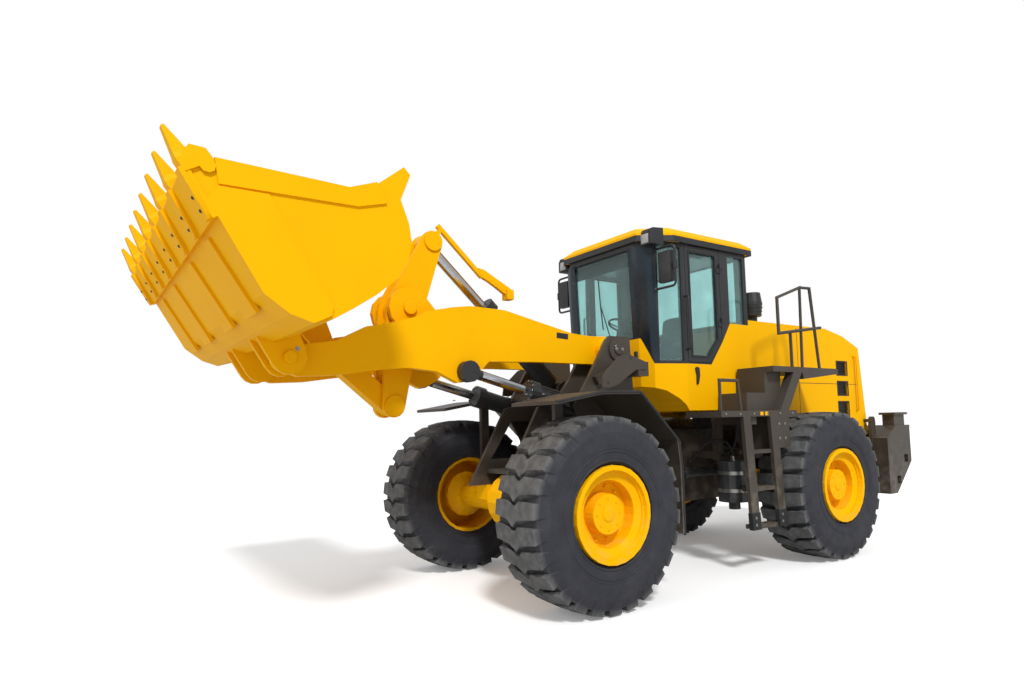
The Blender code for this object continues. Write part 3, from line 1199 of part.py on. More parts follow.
def make_deck(side):
    y = span(side, *DECK_Y)
    outer = span(side, CHANNEL_Y, DECK_Y[1])
    pieces = [box(PLATFORM_X, y, PLATFORM_Z), box(UPPER_DECK_X, y, UPPER_DECK_Z)]
    low_z = PLATFORM_Z[1] - THIN_PLATE
    high_z = UPPER_DECK_Z[1] - THIN_PLATE
    stairs = [(STAIR_X[0], low_z), (STAIR_X[0] - THIN_PLATE, STAIR_Z), (STAIR_X[1], STAIR_Z),
              (STAIR_X[1] - THIN_PLATE, high_z), (LEG_X[0] - PLATE, high_z), (LEG_X[0], low_z)]
    pieces.append(prism(stairs, *span(side, DECK_Y[0], STAIR_OUTER_Y)))
    pieces.append(box(LEG_X, y, (LEG_LOW_Z, PLATFORM_Z[1])))
    rear_x = LEG_X[0] - CHANNEL_RUN
    channel = [(LEG_X[0] + CHANNEL_WIDTH, low_z), (LEG_X[0], low_z), (rear_x, UPPER_DECK_Z[1]),
               (rear_x + CHANNEL_WIDTH, UPPER_DECK_Z[1])]
    pieces.append(prism(channel, *outer))
    arm = [(rear_x, UPPER_DECK_Z[0] - ARM_DROP), (rear_x + PLATE, UPPER_DECK_Z[1]),
           (UPPER_DECK_X[0], UPPER_DECK_Z[1]), (UPPER_DECK_X[0], UPPER_DECK_Z[0])]
    pieces.append(prism(arm, *outer))
    hang = span(side, CAB_HALF_WIDTH + SEAT_GAP, DECK_Y[1] - OVERRUN)
    for mount_x in CAB_MOUNTS_X:
        pieces.append(box((mount_x - PLATE, mount_x + PLATE), hang,
                          (PLATFORM_Z[0] - MOUNT_DEPTH, PLATFORM_Z[0] + PLATE / 2)))
    return pieces + make_ladder(side) + make_rails(side)


# Air tanks, one a side, each with its drain pot
TANK_X = -0.45
TANK_Y = 0.92
TANK_RADIUS = 0.16
TANK_LOW_Z = 0.70
DRAIN_LOW_Z = 0.62
DRAIN_RADIUS = 0.06


def build_decks():
    for word, side in SIDES:
        sub_part("deck_" + word, make_deck(side), grey_paint(), "rear_frame")
        centre = (TANK_X, side * TANK_Y)
        tank = rod((*centre, TANK_LOW_Z), (*centre, TANK_TOP_Z), TANK_RADIUS, 16)
        drain = rod((*centre, DRAIN_LOW_Z), (*centre, TANK_LOW_Z + OVERRUN), DRAIN_RADIUS, 10)
        sub_part("tank_" + word, [tank, drain], dark_paint(), "rear_frame")


# Front fenders and headlamps
FENDER_Y = (0.62, 1.27)
# fender line: (x, z) shares of the tyre radius from the wheel centre
FENDER_TOP_SHARES = ((0.546, 1.148), (-0.06, 1.252), (-0.615, 1.258))
FENDER_REAR_SHARES = ((-1.186, 0.707), (-1.22, 0.43), (-1.22, -0.34))
FENDER_ARM_Z = 1.15
FENDER_ARM = 0.09
HEADLAMP_X = (0.66, 0.80)
HEADLAMP_Y = (0.65, 0.84)
HEADLAMP_Z = (2.00, 2.14)
# lamp arm on the tower's outer face: (x, z) shares of the boom pivot's height above the lift pin
LAMP_ARM_SHARES = ((0.415, -0.50), (0.48, -0.395), (-0.03, -0.183), (-0.22, -0.183), (-0.22, -0.34), (0.045, -0.34))


def make_fender(side):
    top = spread(FENDER_TOP_SHARES, (FRONT_AXLE_X, AXLE_Z), TYRE_RADIUS)
    rear = spread(FENDER_REAR_SHARES, (FRONT_AXLE_X, AXLE_Z), TYRE_RADIUS)
    under = [(x + SHEET, z) for x, z in reversed(rear)] + [(x, z - SHEET) for x, z in reversed(top)]
    return prism(top + rear + under, *span(side, *FENDER_Y))


def build_fenders():
    arm_x = (FRONT_AXLE_X - FENDER_ARM, FRONT_AXLE_X)
    fender_z = AXLE_Z + TYRE_RADIUS * FENDER_TOP_SHARES[1][1]
    for word, side in SIDES:
        bracket = box(arm_x, span(side, TOWER_INNER_Y + PLATE + SEAT_GAP, FENDER_Y[0] + OVERRUN),
                      (FENDER_ARM_Z - SHEET, FENDER_ARM_Z + SHEET))
        riser = box(arm_x, span(side, FENDER_Y[0], FENDER_Y[0] + OVERRUN),
                    (FENDER_ARM_Z - SHEET, fender_z - SHEET / 2))
        sub_part("fender_" + word, [make_fender(side), bracket, riser], grey_paint(), "front_frame")
        lamp = box(HEADLAMP_X, span(side, *HEADLAMP_Y), HEADLAMP_Z)
        outline = spread(LAMP_ARM_SHARES, (BOOM_PIVOT_X, BOOM_PIVOT_Z), BOOM_PIVOT_Z - LIFT_BASE_Z)
        arm = prism(outline, *span(side, TOWER_OUTER_Y + PLATE + SEAT_GAP, HEADLAMP_Y[0] + THIN_PLATE))
        sub_part("headlamp_" + word, [lamp, arm], dark_paint(), "front_frame")


# Boom: side outline as shares of the boom length from the boom pivot
BOOM_TOP_SHARES = ((0.060, 0.045), (0.135, 0.050), (0.380, 0.1025), (0.495, 0.1053), (0.553, 0.097), (0.631, 0.080),
                   (0.654, 0.065), (0.757, 0.036), (0.796, 0.029), (0.875, -0.0116))
BOOM_LOW_SHARES = ((0.968, -0.1015), (0.880, -0.097), (0.762, -0.080), (0.683, -0.0727), (0.600, -0.0805),
                   (0.563, -0.0977), (0.536, -0.110), (0.512, -0.107), (0.475, -0.085), (0.436, -0.048),
                   (0.269, -0.0436), (0.060, -0.0433))
BOOM_EYE_RADIUS = 0.15
BOOM_NOSE_RADIUS = 0.10
BOSS_SHARE = 0.9
CROSS_TUBE_X = 2.62
CROSS_TUBE_Z = 2.33
CROSS_TUBE_RADIUS = 0.14
ROCKER_EAR_INNER = 0.168
ROCKER_EAR_PLATE = 0.05
ROCKER_EAR_RADIUS = 0.19
ROCKER_PIN_RADIUS = 0.05
BUCKET_PIN_RADIUS = 0.045


def build_boom():
    body("boom", (BOOM_PIVOT_X, 0, BOOM_PIVOT_Z), "front_frame")
    pivot = (BOOM_PIVOT_X, BOOM_PIVOT_Z)
    pin = (BUCKET_PIN_X, BUCKET_PIN_Z)
    outline = arc(pivot, BOOM_EYE_RADIUS, 270, 90, 8)
    outline += spread(BOOM_TOP_SHARES, pivot, BOOM_LENGTH)
    outline += arc(pin, BOOM_NOSE_RADIUS, 55, -95, 8)
    outline += spread(BOOM_LOW_SHARES, pivot, BOOM_LENGTH)
    ear = strap((ROCKER_PIN_X, ROCKER_PIN_Z), ROCKER_EAR_RADIUS, (CROSS_TUBE_X, CROSS_TUBE_Z), CROSS_TUBE_RADIUS, 7)
    pieces = []
    cuts = []
    # x, z, outer end of the boss, boss radius, pin radius
    eyes = ((*pivot, BOOM_EYE_OUTER, BOOM_EYE_RADIUS, BOOM_PIN_RADIUS),
            (*pin, BOOM_NOSE_OUTER, BOOM_NOSE_RADIUS, BUCKET_PIN_RADIUS))
    for word, side in SIDES:
        pieces.append(prism(outline, *span(side, BOOM_INNER_Y, BOOM_OUTER_Y)))
        for x, z, outer_y, radius, pin_radius in eyes:
            pieces.append(cross_rod(x, z, span(side, BOOM_OUTER_Y - OVERRUN, outer_y), radius * BOSS_SHARE))
            cuts.append(pin_bore(x, z, span(side, BOOM_INNER_Y - OVERRUN, outer_y + OVERRUN), pin_radius))
        pieces.append(prism(ear, *span(side, ROCKER_EAR_INNER, ROCKER_EAR_INNER + ROCKER_EAR_PLATE)))
    reach = BOOM_INNER_Y + OVERRUN
    pieces.append(cross_rod(CROSS_TUBE_X, CROSS_TUBE_Z, (-reach, reach), CROSS_TUBE_RADIUS))
    ear_reach = ROCKER_EAR_INNER + ROCKER_EAR_PLATE + OVERRUN
    cuts.append(pin_bore(ROCKER_PIN_X, ROCKER_PIN_Z, (-ear_reach, ear_reach), ROCKER_PIN_RADIUS))
    sub_part("boom", pieces, yellow_paint(), "boom", cuts)


# Rocker
ROCKER_PLATE_Y = (0.074, 0.125)
ROCKER_HUB_Y = 0.162
ROCKER_HUB_RADIUS = 0.13
ROCKER_END_RADIUS = 0.10
ROCKER_MID_RADIUS = 0.17
ROCKER_CAP = 0.02


def build_rocker():
    pin = (ROCKER_PIN_X, ROCKER_PIN_Z)
    body("rocker", (pin[0], 0, pin[1]), "boom")
    pieces = []
    for word, side in SIDES:
        cap = span(side, ROCKER_PLATE_Y[1] - ROCKER_CAP, ROCKER_PLATE_Y[1] + ROCKER_CAP)
        for end in ((ROCKER_TOP_X, ROCKER_TOP_Z), (ROCKER_LOW_X, ROCKER_LOW_Z)):
            plate = strap(pin, ROCKER_MID_RADIUS, end, ROCKER_END_RADIUS, 7)
            pieces.append(prism(plate, *span(side, *ROCKER_PLATE_Y)))
            pieces.append(cross_rod(*end, cap, ROCKER_END_RADIUS * BOSS_SHARE))
    pieces.append(cross_rod(*pin, (-ROCKER_HUB_Y, ROCKER_HUB_Y), ROCKER_HUB_RADIUS))
    pin_reach = ROCKER_EAR_INNER + ROCKER_EAR_PLATE + ROCKER_CAP
    pieces.append(cross_rod(*pin, (-pin_reach, pin_reach), ROCKER_PIN_RADIUS))
    sub_part("rocker", pieces, yellow_paint(), "rocker")


# Bucket side outline, level, as (ahead, up) shares of the bucket depth from its pin
BUCKET_BACK_SHARES = ((0.357, FLOOR_SHARE), (0.216, -0.120), (0.124, -0.040), (0.097, 0.062), (0.096, 0.175),
                      (0.102, 0.330), (0.127, 0.500), (0.185, 0.600), (0.261, 0.668), (0.360, 0.708), (0.489, 0.731),
                      (0.586, 0.857))
BUCKET_FRONT_SHARES = ((0.639, 0.844), (0.612, 0.648), (0.650, 0.489), (1.0, -0.053), (LIP_SHARE, -0.12),
                       (LIP_SHARE, FLOOR_SHARE))
BUCKET_HOLLOW_SHARES = ((1.15, -0.155), (0.365, -0.155), (0.236, -0.100), (0.146, -0.024), (0.121, 0.070),
                        (0.120, 0.175), (0.126, 0.325), (0.152, 0.489), (0.205, 0.582), (0.273, 0.644),
                        (0.365, 0.683), (0.502, 0.706), (0.60, 0.835), (0.70, 0.90), (1.2, 0.90))
# strip along the cutting edge of each side plate, and the wear plate low on each side
CUTTER_SHARES = ((1.0, -0.053), (0.650, 0.489), (0.620, 0.648), (0.500, 0.640), (0.545, 0.480), (0.885, -0.100))
WEAR_SHARES = ((0.880, -0.110), (0.840, FLOOR_SHARE), (0.357, FLOOR_SHARE), (0.216, -0.120), (0.124, -0.040),
               (0.115, 0.060), (0.150, 0.090), (0.760, 0.090))
SIDE_STRIP = 0.015
EDGE_BACK = 0.28
RIB_GAP = 0.04048
RIB_X = (0.36, LIP_SHARE * BUCKET_DEPTH - EDGE_BACK - RIB_GAP)
RIB_THICK = 0.02
RIB_HEEL = 0.14
RIB_LIP = 0.07
RIBS_Y = (0.42, 1.10)
EAR_OUTER_Y = (0.502, 0.552)
EAR_INNER_Y = (0.288, 0.338)
EAR_RADIUS = 0.13
EAR_ROOT = (0.22, 0.02)
EAR_ROOT_RADIUS = 0.15
LINK_HALF = 0.068
LINK_END_RADIUS = 0.085
LINK_PIN_RADIUS = 0.04
LINK_EAR_Y = (0.076, 0.126)
LINK_EAR_RADIUS = 0.085
LINK_EAR_ROOT_RADIUS = 0.12
LINK_EAR_ROOT_AHEAD = 0.15
PIN_CAP_Y = 0.58


def build_bucket():
    body("bucket", (BUCKET_PIN_X, 0, BUCKET_PIN_Z), "boom", -BUCKET_CURL)
    half = BUCKET_WIDTH / 2
    floor = FLOOR_SHARE * BUCKET_DEPTH
    origin = (0, 0)
    hinge = strap(origin, EAR_RADIUS, EAR_ROOT, EAR_ROOT_RADIUS, 7)
    link_ear = strap((-LINK_EAR_BACK, LINK_EAR_UP), LINK_EAR_RADIUS, (LINK_EAR_ROOT_AHEAD, LINK_EAR_UP),
                     LINK_EAR_ROOT_RADIUS, 7)
    pieces = [prism(spread(BUCKET_BACK_SHARES + BUCKET_FRONT_SHARES, origin, BUCKET_DEPTH), -half, half)]
    pins = [cross_rod(-LINK_EAR_BACK, LINK_EAR_UP, (-LINK_EAR_Y[1], LINK_EAR_Y[1]), LINK_PIN_RADIUS)]
    for word, side in SIDES:
        for strip in (CUTTER_SHARES, WEAR_SHARES):
            strip_y = span(side, half - SIDE_STRIP, half + SIDE_STRIP)
            pieces.append(prism(spread(strip, origin, BUCKET_DEPTH), *strip_y))
        for ear_y in (EAR_OUTER_Y, EAR_INNER_Y):
            pieces.append(prism(hinge, *span(side, *ear_y)))
        pieces.append(prism(link_ear, *span(side, *LINK_EAR_Y)))
        for y in RIBS_Y:
            plan = [(RIB_X[0], side * (y - RIB_HEEL)), (RIB_X[1], side * (y - RIB_LIP)),
                    (RIB_X[1], side * (y + RIB_LIP)), (RIB_X[0], side * (y + RIB_HEEL))]
            pieces.append(prism(plan, floor - RIB_THICK, floor + RIB_THICK / 2, "Z"))
        pins.append(cross_rod(0, 0, span(side, EAR_INNER_Y[0] + PLATE / 2, PIN_CAP_Y), BUCKET_PIN_RADIUS))
    cavity = prism(spread(BUCKET_HOLLOW_SHARES, origin, BUCKET_DEPTH), -half + BUCKET_WALL, half - BUCKET_WALL)
    shell = combine(combine(pieces[0], pieces[1:], "UNION"), [cavity], "DIFFERENCE")
    sub_part("bucket", [shell] + pins, yellow_paint(), "bucket")
    build_teeth()
    build_link()


def build_link():
    """The link hangs on the bucket's ears, with its upper eye in the rocker's fork."""
    ear = (-LINK_EAR_BACK, LINK_EAR_UP)
    upper = in_bucket(ROCKER_LOW_X, ROCKER_LOW_Z)
    body("link", (ear[0], 0, ear[1]), "bucket")
    bar = prism(strap(ear, LINK_END_RADIUS, upper, LINK_END_RADIUS, 7), -LINK_HALF, LINK_HALF)
    reach = LINK_HALF + OVERRUN
    sub_part("link", [bar], yellow_paint(), "link", [pin_bore(*ear, (-reach, reach), LINK_PIN_RADIUS)])


TOOTH_RISE = 0.07
# tooth sections: shares of the reach, of the width, of the edge plate below and of the rise above
TOOTH_SHARES = ((0, 1.0, 1.0, 1.0), (0.30, 1.0, 1.3, 0.85), (0.42, 0.80, 1.1, 0.60), (1.0, 0.50, TIP_SHARE, 0.13))


def build_teeth():
    half = BUCKET_WIDTH / 2 + SIDE_STRIP
    lip = LIP_SHARE * BUCKET_DEPTH
    under = FLOOR_SHARE * BUCKET_DEPTH - SEAT_GAP
    pieces = [box((lip - EDGE_BACK, lip + EDGE_PLATE), (-half, half), (under - EDGE_PLATE, under))]
    for k in range(TOOTH_COUNT):
        pieces.append(make_tooth((k - (TOOTH_COUNT - 1) / 2) * TOOTH_PITCH, lip + SEAT_GAP, under))
    sub_part("bucket_teeth", pieces, yellow_paint(), "bucket")


def make_tooth(y, root, under):
    """One tooth: an adapter on the lip and a point that tapers to its tip."""
    bm = bmesh.new()
    rings = []
    for reach, width, low, high in TOOTH_SHARES:
        x = root + reach * TOOTH_REACH
        half = width * TOOTH_WIDTH / 2
        z_low = under - low * EDGE_PLATE
        z_high = under + high * TOOTH_RISE
        corners = [(x, y - half, z_low), (x, y + half, z_low), (x, y + half, z_high), (x, y - half, z_high)]
        rings.append([bm.verts.new(c) for c in corners])
    skin(bm, rings)
    return from_bmesh("tooth", bm)


# Cylinders: a barrel hinged at its base, and a rod that slides in it
ROD_TAIL = 0.02
NECK_SHARE = 1.5
TUBE_SHARE = 1.35
BORE_SHARE = 1.6
HEAD_SHARE = 1.22
EYE_SIDES = SMALL_PIN_SIDES
ROD_SIDES = 10
# barrel radius, rod radius, base eye radius, rod eye radius, barrel length, way the rod slides in, base pin radius
LIFT_SIZES = (0.0925, 0.045, 0.095, 0.095, 1.15, 0.40, LIFT_PIN_RADIUS)
TILT_SIZES = (0.10, 0.05, 0.10, 0.095, 1.22, 0.61, TILT_PIN_RADIUS)
STEER_SIZES = (0.05, 0.025, 0.055, 0.055, 0.66, 0.34, STEER_PIN_RADIUS)


def cylinder_pair(label, base, eye, pin, half, sizes, owner):
    """Barrel and rod from the base pin to the rod eye, with pins along the pin direction."""
    barrel_radius, rod_radius, base_eye, rod_eye, barrel_length, way_in, pin_radius = sizes
    base = Vector(base)
    eye = Vector(eye)
    pin = Vector(pin)
    along = (eye - base).normalized()
    body(label + "_barrel", base, owner)
    body(label + "_rod", base, label + "_barrel")
    head_end = base + along * barrel_length
    pieces = [rod(base + along * (base_eye * TUBE_SHARE), head_end, barrel_radius, 16),
              rod(head_end - along * barrel_radius, head_end, barrel_radius * HEAD_SHARE, 16),
              rod(base - pin * half, base + pin * half, base_eye, EYE_SIDES),
              rod(base, base + along * (base_eye * NECK_SHARE), half * BOSS_SHARE, ROD_SIDES)]
    reach = half + OVERRUN
    hole_radius = pin_radius / math.cos(math.pi / EYE_SIDES) + SEAT_GAP
    cuts = [rod(base + along * (base_eye * BORE_SHARE), head_end + along * OVERRUN,
                rod_radius + SEAT_GAP + SEAT_GAP, ROD_SIDES),
            rod(base - pin * reach, base + pin * reach, hole_radius, EYE_SIDES)]
    sub_part(label + "_barrel", pieces, dark_paint(), label + "_barrel", cuts)
    shaft = rod(base + along * (base_eye * BORE_SHARE + ROD_TAIL + way_in), eye, rod_radius, ROD_SIDES)
    end = rod(eye - pin * half, eye + pin * half, rod_eye, EYE_SIDES)
    sub_part(label + "_rod", [shaft, end], chrome(), label + "_rod")
    return along


# Bar beside the tilt rod that shows the bucket's angle
BAR_LIFT = 0.20
BAR_HALF = 0.02
BAR_AHEAD = 0.05
BAR_BACK = 0.60
BAR_THICK = 0.04


def build_position_bar(along):
    """A bar beside the tilt rod, on an arm at the rod's eye."""
    across = Vector((-along.z, 0, along.x))
    eye = Vector((ROCKER_TOP_X, 0, ROCKER_TOP_Z))
    eye_radius = TILT_SIZES[3]

    def outline(back, ahead, low, high):
        corners = []
        for reach, lift in ((-back, low), (ahead, low), (ahead, high), (-back, high)):
            place = eye + along * reach + across * lift
            corners.append((place.x, place.z))
        return corners

    bar = prism(outline(BAR_BACK, BAR_AHEAD, BAR_LIFT, BAR_LIFT + BAR_THICK), -BAR_HALF, BAR_HALF)
    arm = prism(outline(BAR_THICK / 2, BAR_THICK / 2, eye_radius + SEAT_GAP, BAR_LIFT + BAR_THICK / 2),
                -BAR_HALF, BAR_HALF)
    sub_part("position_bar", [bar, arm], yellow_paint(), "tilt_rod")


def build_cylinders():
    across = (0, 1, 0)
    upright = (0, 0, 1)
    for word, side in SIDES:
        base = (LIFT_BASE_X, side * LIFT_Y, LIFT_BASE_Z)
        eye = (LIFT_EYE_X, side * LIFT_Y, LIFT_EYE_Z)
        cylinder_pair("lift_" + word, base, eye, across, LIFT_HALF, LIFT_SIZES, "front_frame")
        base = (STEER_BASE_X, side * STEER_BASE_Y, STEER_Z)
        eye = (STEER_EYE_X, side * STEER_EYE_Y, STEER_Z)
        cylinder_pair("steer_" + word, base, eye, upright, STEER_HALF, STEER_SIZES, "rear_frame")
    base = (TILT_BASE_X, 0, TILT_BASE_Z)
    eye = (ROCKER_TOP_X, 0, ROCKER_TOP_Z)
    along = cylinder_pair("tilt", base, eye, across, TILT_HALF, TILT_SIZES, "front_frame")
    build_position_bar(along)


def main():
    clear_scene()
    build_rear_frame()
    build_front_frame()
    build_wheels()
    build_driveline()
    build_counterweight()
    build_cab_body()
    build_cab_frame()
    build_roof_and_glass()
    build_door()
    build_cab_inside()
    build_mirrors()
    build_hood()
    build_decks()
    build_fenders()
    build_boom()
    build_rocker()
    build_bucket()
    build_cylinders()


main()
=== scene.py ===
import math

import bmesh
import bpy
from mathutils import Matrix, Vector


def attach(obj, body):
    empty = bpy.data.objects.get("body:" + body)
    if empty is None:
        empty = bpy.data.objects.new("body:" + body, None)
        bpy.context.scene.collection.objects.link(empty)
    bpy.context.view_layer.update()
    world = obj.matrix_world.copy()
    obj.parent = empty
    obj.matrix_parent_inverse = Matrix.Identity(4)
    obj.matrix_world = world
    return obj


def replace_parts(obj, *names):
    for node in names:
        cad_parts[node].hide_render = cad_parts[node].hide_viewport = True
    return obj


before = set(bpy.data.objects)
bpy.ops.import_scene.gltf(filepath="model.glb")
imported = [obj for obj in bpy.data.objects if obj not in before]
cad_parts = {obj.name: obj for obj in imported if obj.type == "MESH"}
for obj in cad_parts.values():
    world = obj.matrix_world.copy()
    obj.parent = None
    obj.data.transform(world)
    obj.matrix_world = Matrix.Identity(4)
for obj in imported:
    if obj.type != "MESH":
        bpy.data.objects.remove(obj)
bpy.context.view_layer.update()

TAU = 2 * math.pi

# Machine coordinates start at the steering pivot; the frame's origin is PIVOT_X behind it.
PIVOT_X = -0.484357
WHEEL_Y = 1.135
AXLE_Z = 0.81
AXLES = (("front", 1.70), ("rear", -1.70))
SIDES = (("left", 1), ("right", -1))


def at(x, y, z):
    """A machine point in the frame."""
    return Vector((x + PIVOT_X, y, z))


# Camera
CAMERA_X, CAMERA_Y, CAMERA_Z = 5.3789, 5.4506, 1.5556
CAMERA_YAW, CAMERA_PITCH, CAMERA_ROLL = -2.1745, 0.0792, -0.0235
FOCAL_PX, CENTRE_PX, CENTRE_PY = 660.94, 519.62, 371.99
IMAGE_W, IMAGE_H = 1024, 683
SENSOR_MM = 36.0


def make_camera():
    forward = Vector((math.cos(CAMERA_YAW) * math.cos(CAMERA_PITCH),
                      math.sin(CAMERA_YAW) * math.cos(CAMERA_PITCH), math.sin(CAMERA_PITCH)))
    right = forward.cross(Vector((0, 0, 1))).normalized()
    up = right.cross(forward)
    turned_right = right * math.cos(CAMERA_ROLL) + up * math.sin(CAMERA_ROLL)
    turned_up = up * math.cos(CAMERA_ROLL) - right * math.sin(CAMERA_ROLL)
    data = bpy.data.cameras.new("camera")
    data.sensor_width = SENSOR_MM
    data.lens = FOCAL_PX / IMAGE_W * SENSOR_MM
    data.shift_x = (IMAGE_W / 2 - CENTRE_PX) / IMAGE_W
    data.shift_y = (CENTRE_PY - IMAGE_H / 2) / IMAGE_W
    data.clip_end = 300
    camera = bpy.data.objects.new("camera", data)
    matrix = Matrix((turned_right, turned_up, -forward)).transposed().to_4x4()
    matrix.translation = at(CAMERA_X, CAMERA_Y, CAMERA_Z)
    camera.matrix_world = matrix
    bpy.context.scene.collection.objects.link(camera)
    bpy.context.scene.camera = camera


make_camera()


# Materials
class Nodes:
    """Short calls for building one material's node tree."""

    def __init__(self, name):
        self.material = bpy.data.materials.new(name)
        self.material.use_nodes = True
        self.tree = self.material.node_tree
        self.shader = self.tree.nodes["Principled BSDF"]
        self.place = self.add("ShaderNodeTexCoord").outputs["Object"]

    def add(self, kind, **values):
        node = self.tree.nodes.new(kind)
        for key, value in values.items():
            setattr(node, key, value)
        return node

    def link(self, source, target):
        self.tree.links.new(source, target)

    def noise(self, scale, detail=4.0, stretch=None):
        node = self.add("ShaderNodeTexNoise")
        node.inputs["Scale"].default_value = scale
        node.inputs["Detail"].default_value = detail
        source = self.place
        if stretch:
            mapping = self.add("ShaderNodeMapping")
            mapping.inputs["Scale"].default_value = stretch
            self.link(self.place, mapping.inputs["Vector"])
            source = mapping.outputs["Vector"]
        self.link(source, node.inputs["Vector"])
        return node.outputs["Fac"]

    def ramp(self, source, low, high, out_low=0.0, out_high=1.0):
        node = self.add("ShaderNodeMapRange")
        node.inputs["From Min"].default_value = low
        node.inputs["From Max"].default_value = high
        node.inputs["To Min"].default_value = out_low
        node.inputs["To Max"].default_value = out_high
        self.link(source, node.inputs["Value"])
        return node.outputs["Result"]

    def math(self, operation, a, b):
        node = self.add("ShaderNodeMath", operation=operation)
        for socket, value in zip(node.inputs, (a, b)):
            if isinstance(value, (int, float)):
                socket.default_value = value
            else:
                self.link(value, socket)
        return node.outputs["Value"]

    def mix(self, factor, a, b):
        node = self.add("ShaderNodeMix", data_type="RGBA")
        self.link(factor, node.inputs["Factor"])
        for name, value in (("A", a), ("B", b)):
            socket = next(s for s in node.inputs if s.name == name and s.type == "RGBA")
            if isinstance(value, tuple):
                socket.default_value = (*value, 1.0)
            else:
                self.link(value, socket)
        return next(s for s in node.outputs if s.type == "RGBA")

    def height(self):
        node = self.add("ShaderNodeSeparateXYZ")
        self.link(self.place, node.inputs[0])
        return node.outputs["Z"]

    def upness(self):
        node = self.add("ShaderNodeSeparateXYZ")
        self.link(self.add("ShaderNodeNewGeometry").outputs["Normal"], node.inputs[0])
        return node.outputs["Z"]

    def off_axle(self, axle_x):
        """Distance from a wheel axle."""
        node = self.add("ShaderNodeSeparateXYZ")
        self.link(self.place, node.inputs[0])
        along = self.math("SUBTRACT", node.outputs["X"], axle_x + PIVOT_X)
        upright = self.math("SUBTRACT", node.outputs["Z"], AXLE_Z)
        squares = [self.math("MULTIPLY", d, d) for d in (along, upright)]
        return self.math("SQRT", self.math("ADD", *squares), 0)

    def near(self, point, radius):
        """1 within a radius of a point of the machine, 0 outside it."""
        node = self.add("ShaderNodeVectorMath", operation="DISTANCE")
        self.link(self.place, node.inputs[0])
        node.inputs[1].default_value = at(*point)
        return self.ramp(node.outputs["Value"], radius + 0.002, radius)

    def bump(self, heights, distance):
        """Stack bumps of (height, strength) on the shader's normal."""
        normal = None
        for source, strength in heights:
            node = self.add("ShaderNodeBump")
            node.inputs["Strength"].default_value = strength
            node.inputs["Distance"].default_value = distance
            self.link(source, node.inputs["Height"])
            if normal:
                self.link(normal, node.inputs["Normal"])
            normal = node.outputs["Normal"]
        self.link(normal, self.shader.inputs["Normal"])

    def finish(self, colour, roughness, metallic=0.0, coat=0.0, coat_roughness=0.1, specular=0.5):
        self.link(colour, self.shader.inputs["Base Color"])
        self.link(roughness, self.shader.inputs["Roughness"])
        if isinstance(metallic, float):
            self.shader.inputs["Metallic"].default_value = metallic
        else:
            self.link(metallic, self.shader.inputs["Metallic"])
        self.shader.inputs["Coat Weight"].default_value = coat
        self.shader.inputs["Coat Roughness"].default_value = coat_roughness
        self.shader.inputs["Specular IOR Level"].default_value = specular
        return self.material


def paint(name, base, shade, dust_top, dust_amount, rough=(0.34, 0.50), coat=0.06, tread=False,
          specular=0.35):
    """Sprayed machine paint: faint mottling, orange peel, dust low down and on level faces."""
    n = Nodes(name)
    colour = n.mix(n.ramp(n.noise(1.7, 5.0), 0.35, 0.68), base, shade)
    low = n.ramp(n.height(), dust_top, 0.3)
    level = n.ramp(n.upness(), 0.6, 1.0, 0.0, 0.6)
    patch = n.ramp(n.noise(9.0, 8.0), 0.45, 0.75)
    mask = n.math("MULTIPLY", n.math("MULTIPLY", n.math("ADD", low, level), patch), dust_amount)
    colour = n.mix(n.ramp(mask, 0.0, 1.0), colour, DUST)
    roughness = n.math("ADD", n.ramp(n.noise(30.0), 0.3, 0.7, *rough), n.math("MULTIPLY", mask, 0.3))
    heights = [(n.noise(260.0, 2.0), 0.05), (n.noise(22.0, 2.0), 0.03)]
    if tread:
        dots = n.add("ShaderNodeTexVoronoi", feature="F1")
        dots.inputs["Scale"].default_value = 28.0
        dots.inputs["Randomness"].default_value = 0.0
        n.link(n.place, dots.inputs["Vector"])
        button = n.ramp(dots.outputs["Distance"], 0.42, 0.30)
        heights.append((n.math("MULTIPLY", button, n.ramp(n.upness(), 0.95, 0.99)), 0.8))
    n.bump(heights, 0.004)
    return n.finish(colour, roughness, coat=coat, specular=specular)


def plastic(name, base, shade, rough=(0.38, 0.55), grain=420.0, strength=0.12):
    n = Nodes(name)
    colour = n.mix(n.ramp(n.noise(3.0, 6.0), 0.35, 0.7), base, shade)
    n.bump([(n.noise(grain, 2.0), strength)], 0.003)
    return n.finish(colour, n.ramp(n.noise(14.0, 5.0), 0.3, 0.7, *rough))


def rubber(name, base, dust, dust_amount, axle_x=None):
    """Rubber with fine grain and dry dust; a tyre's tread is scuffed grey, its sidewalls stay dark."""
    n = Nodes(name)
    patch = n.ramp(n.noise(5.0, 9.0), 0.42, 0.72)
    fine = n.ramp(n.noise(60.0, 6.0), 0.45, 0.75, 0.0, 0.35)
    amount = n.math("MULTIPLY", n.math("MAXIMUM", patch, fine), dust_amount)
    if axle_x is not None:
        tread = n.ramp(n.off_axle(axle_x), 0.735, 0.79)
        scuff = n.ramp(n.noise(14.0, 7.0), 0.35, 0.65, 0.45, 0.95)
        amount = n.math("MAXIMUM", amount, n.math("MULTIPLY", tread, scuff))
    colour = n.mix(amount, base, dust)
    n.bump([(n.noise(180.0, 4.0), 0.25), (n.noise(24.0, 3.0), 0.10)], 0.004)
    return n.finish(colour, n.ramp(n.noise(12.0, 5.0), 0.3, 0.7, 0.62, 0.85))


def metal(name, base, rough, scratch=(1.0, 1.0, 14.0)):
    n = Nodes(name)
    streak = n.noise(40.0, 5.0, scratch)
    colour = n.mix(n.ramp(streak, 0.4, 0.7), base, tuple(0.75 * c for c in base))
    n.bump([(streak, 0.04)], 0.002)
    return n.finish(colour, n.ramp(streak, 0.3, 0.7, *rough), metallic=1.0)


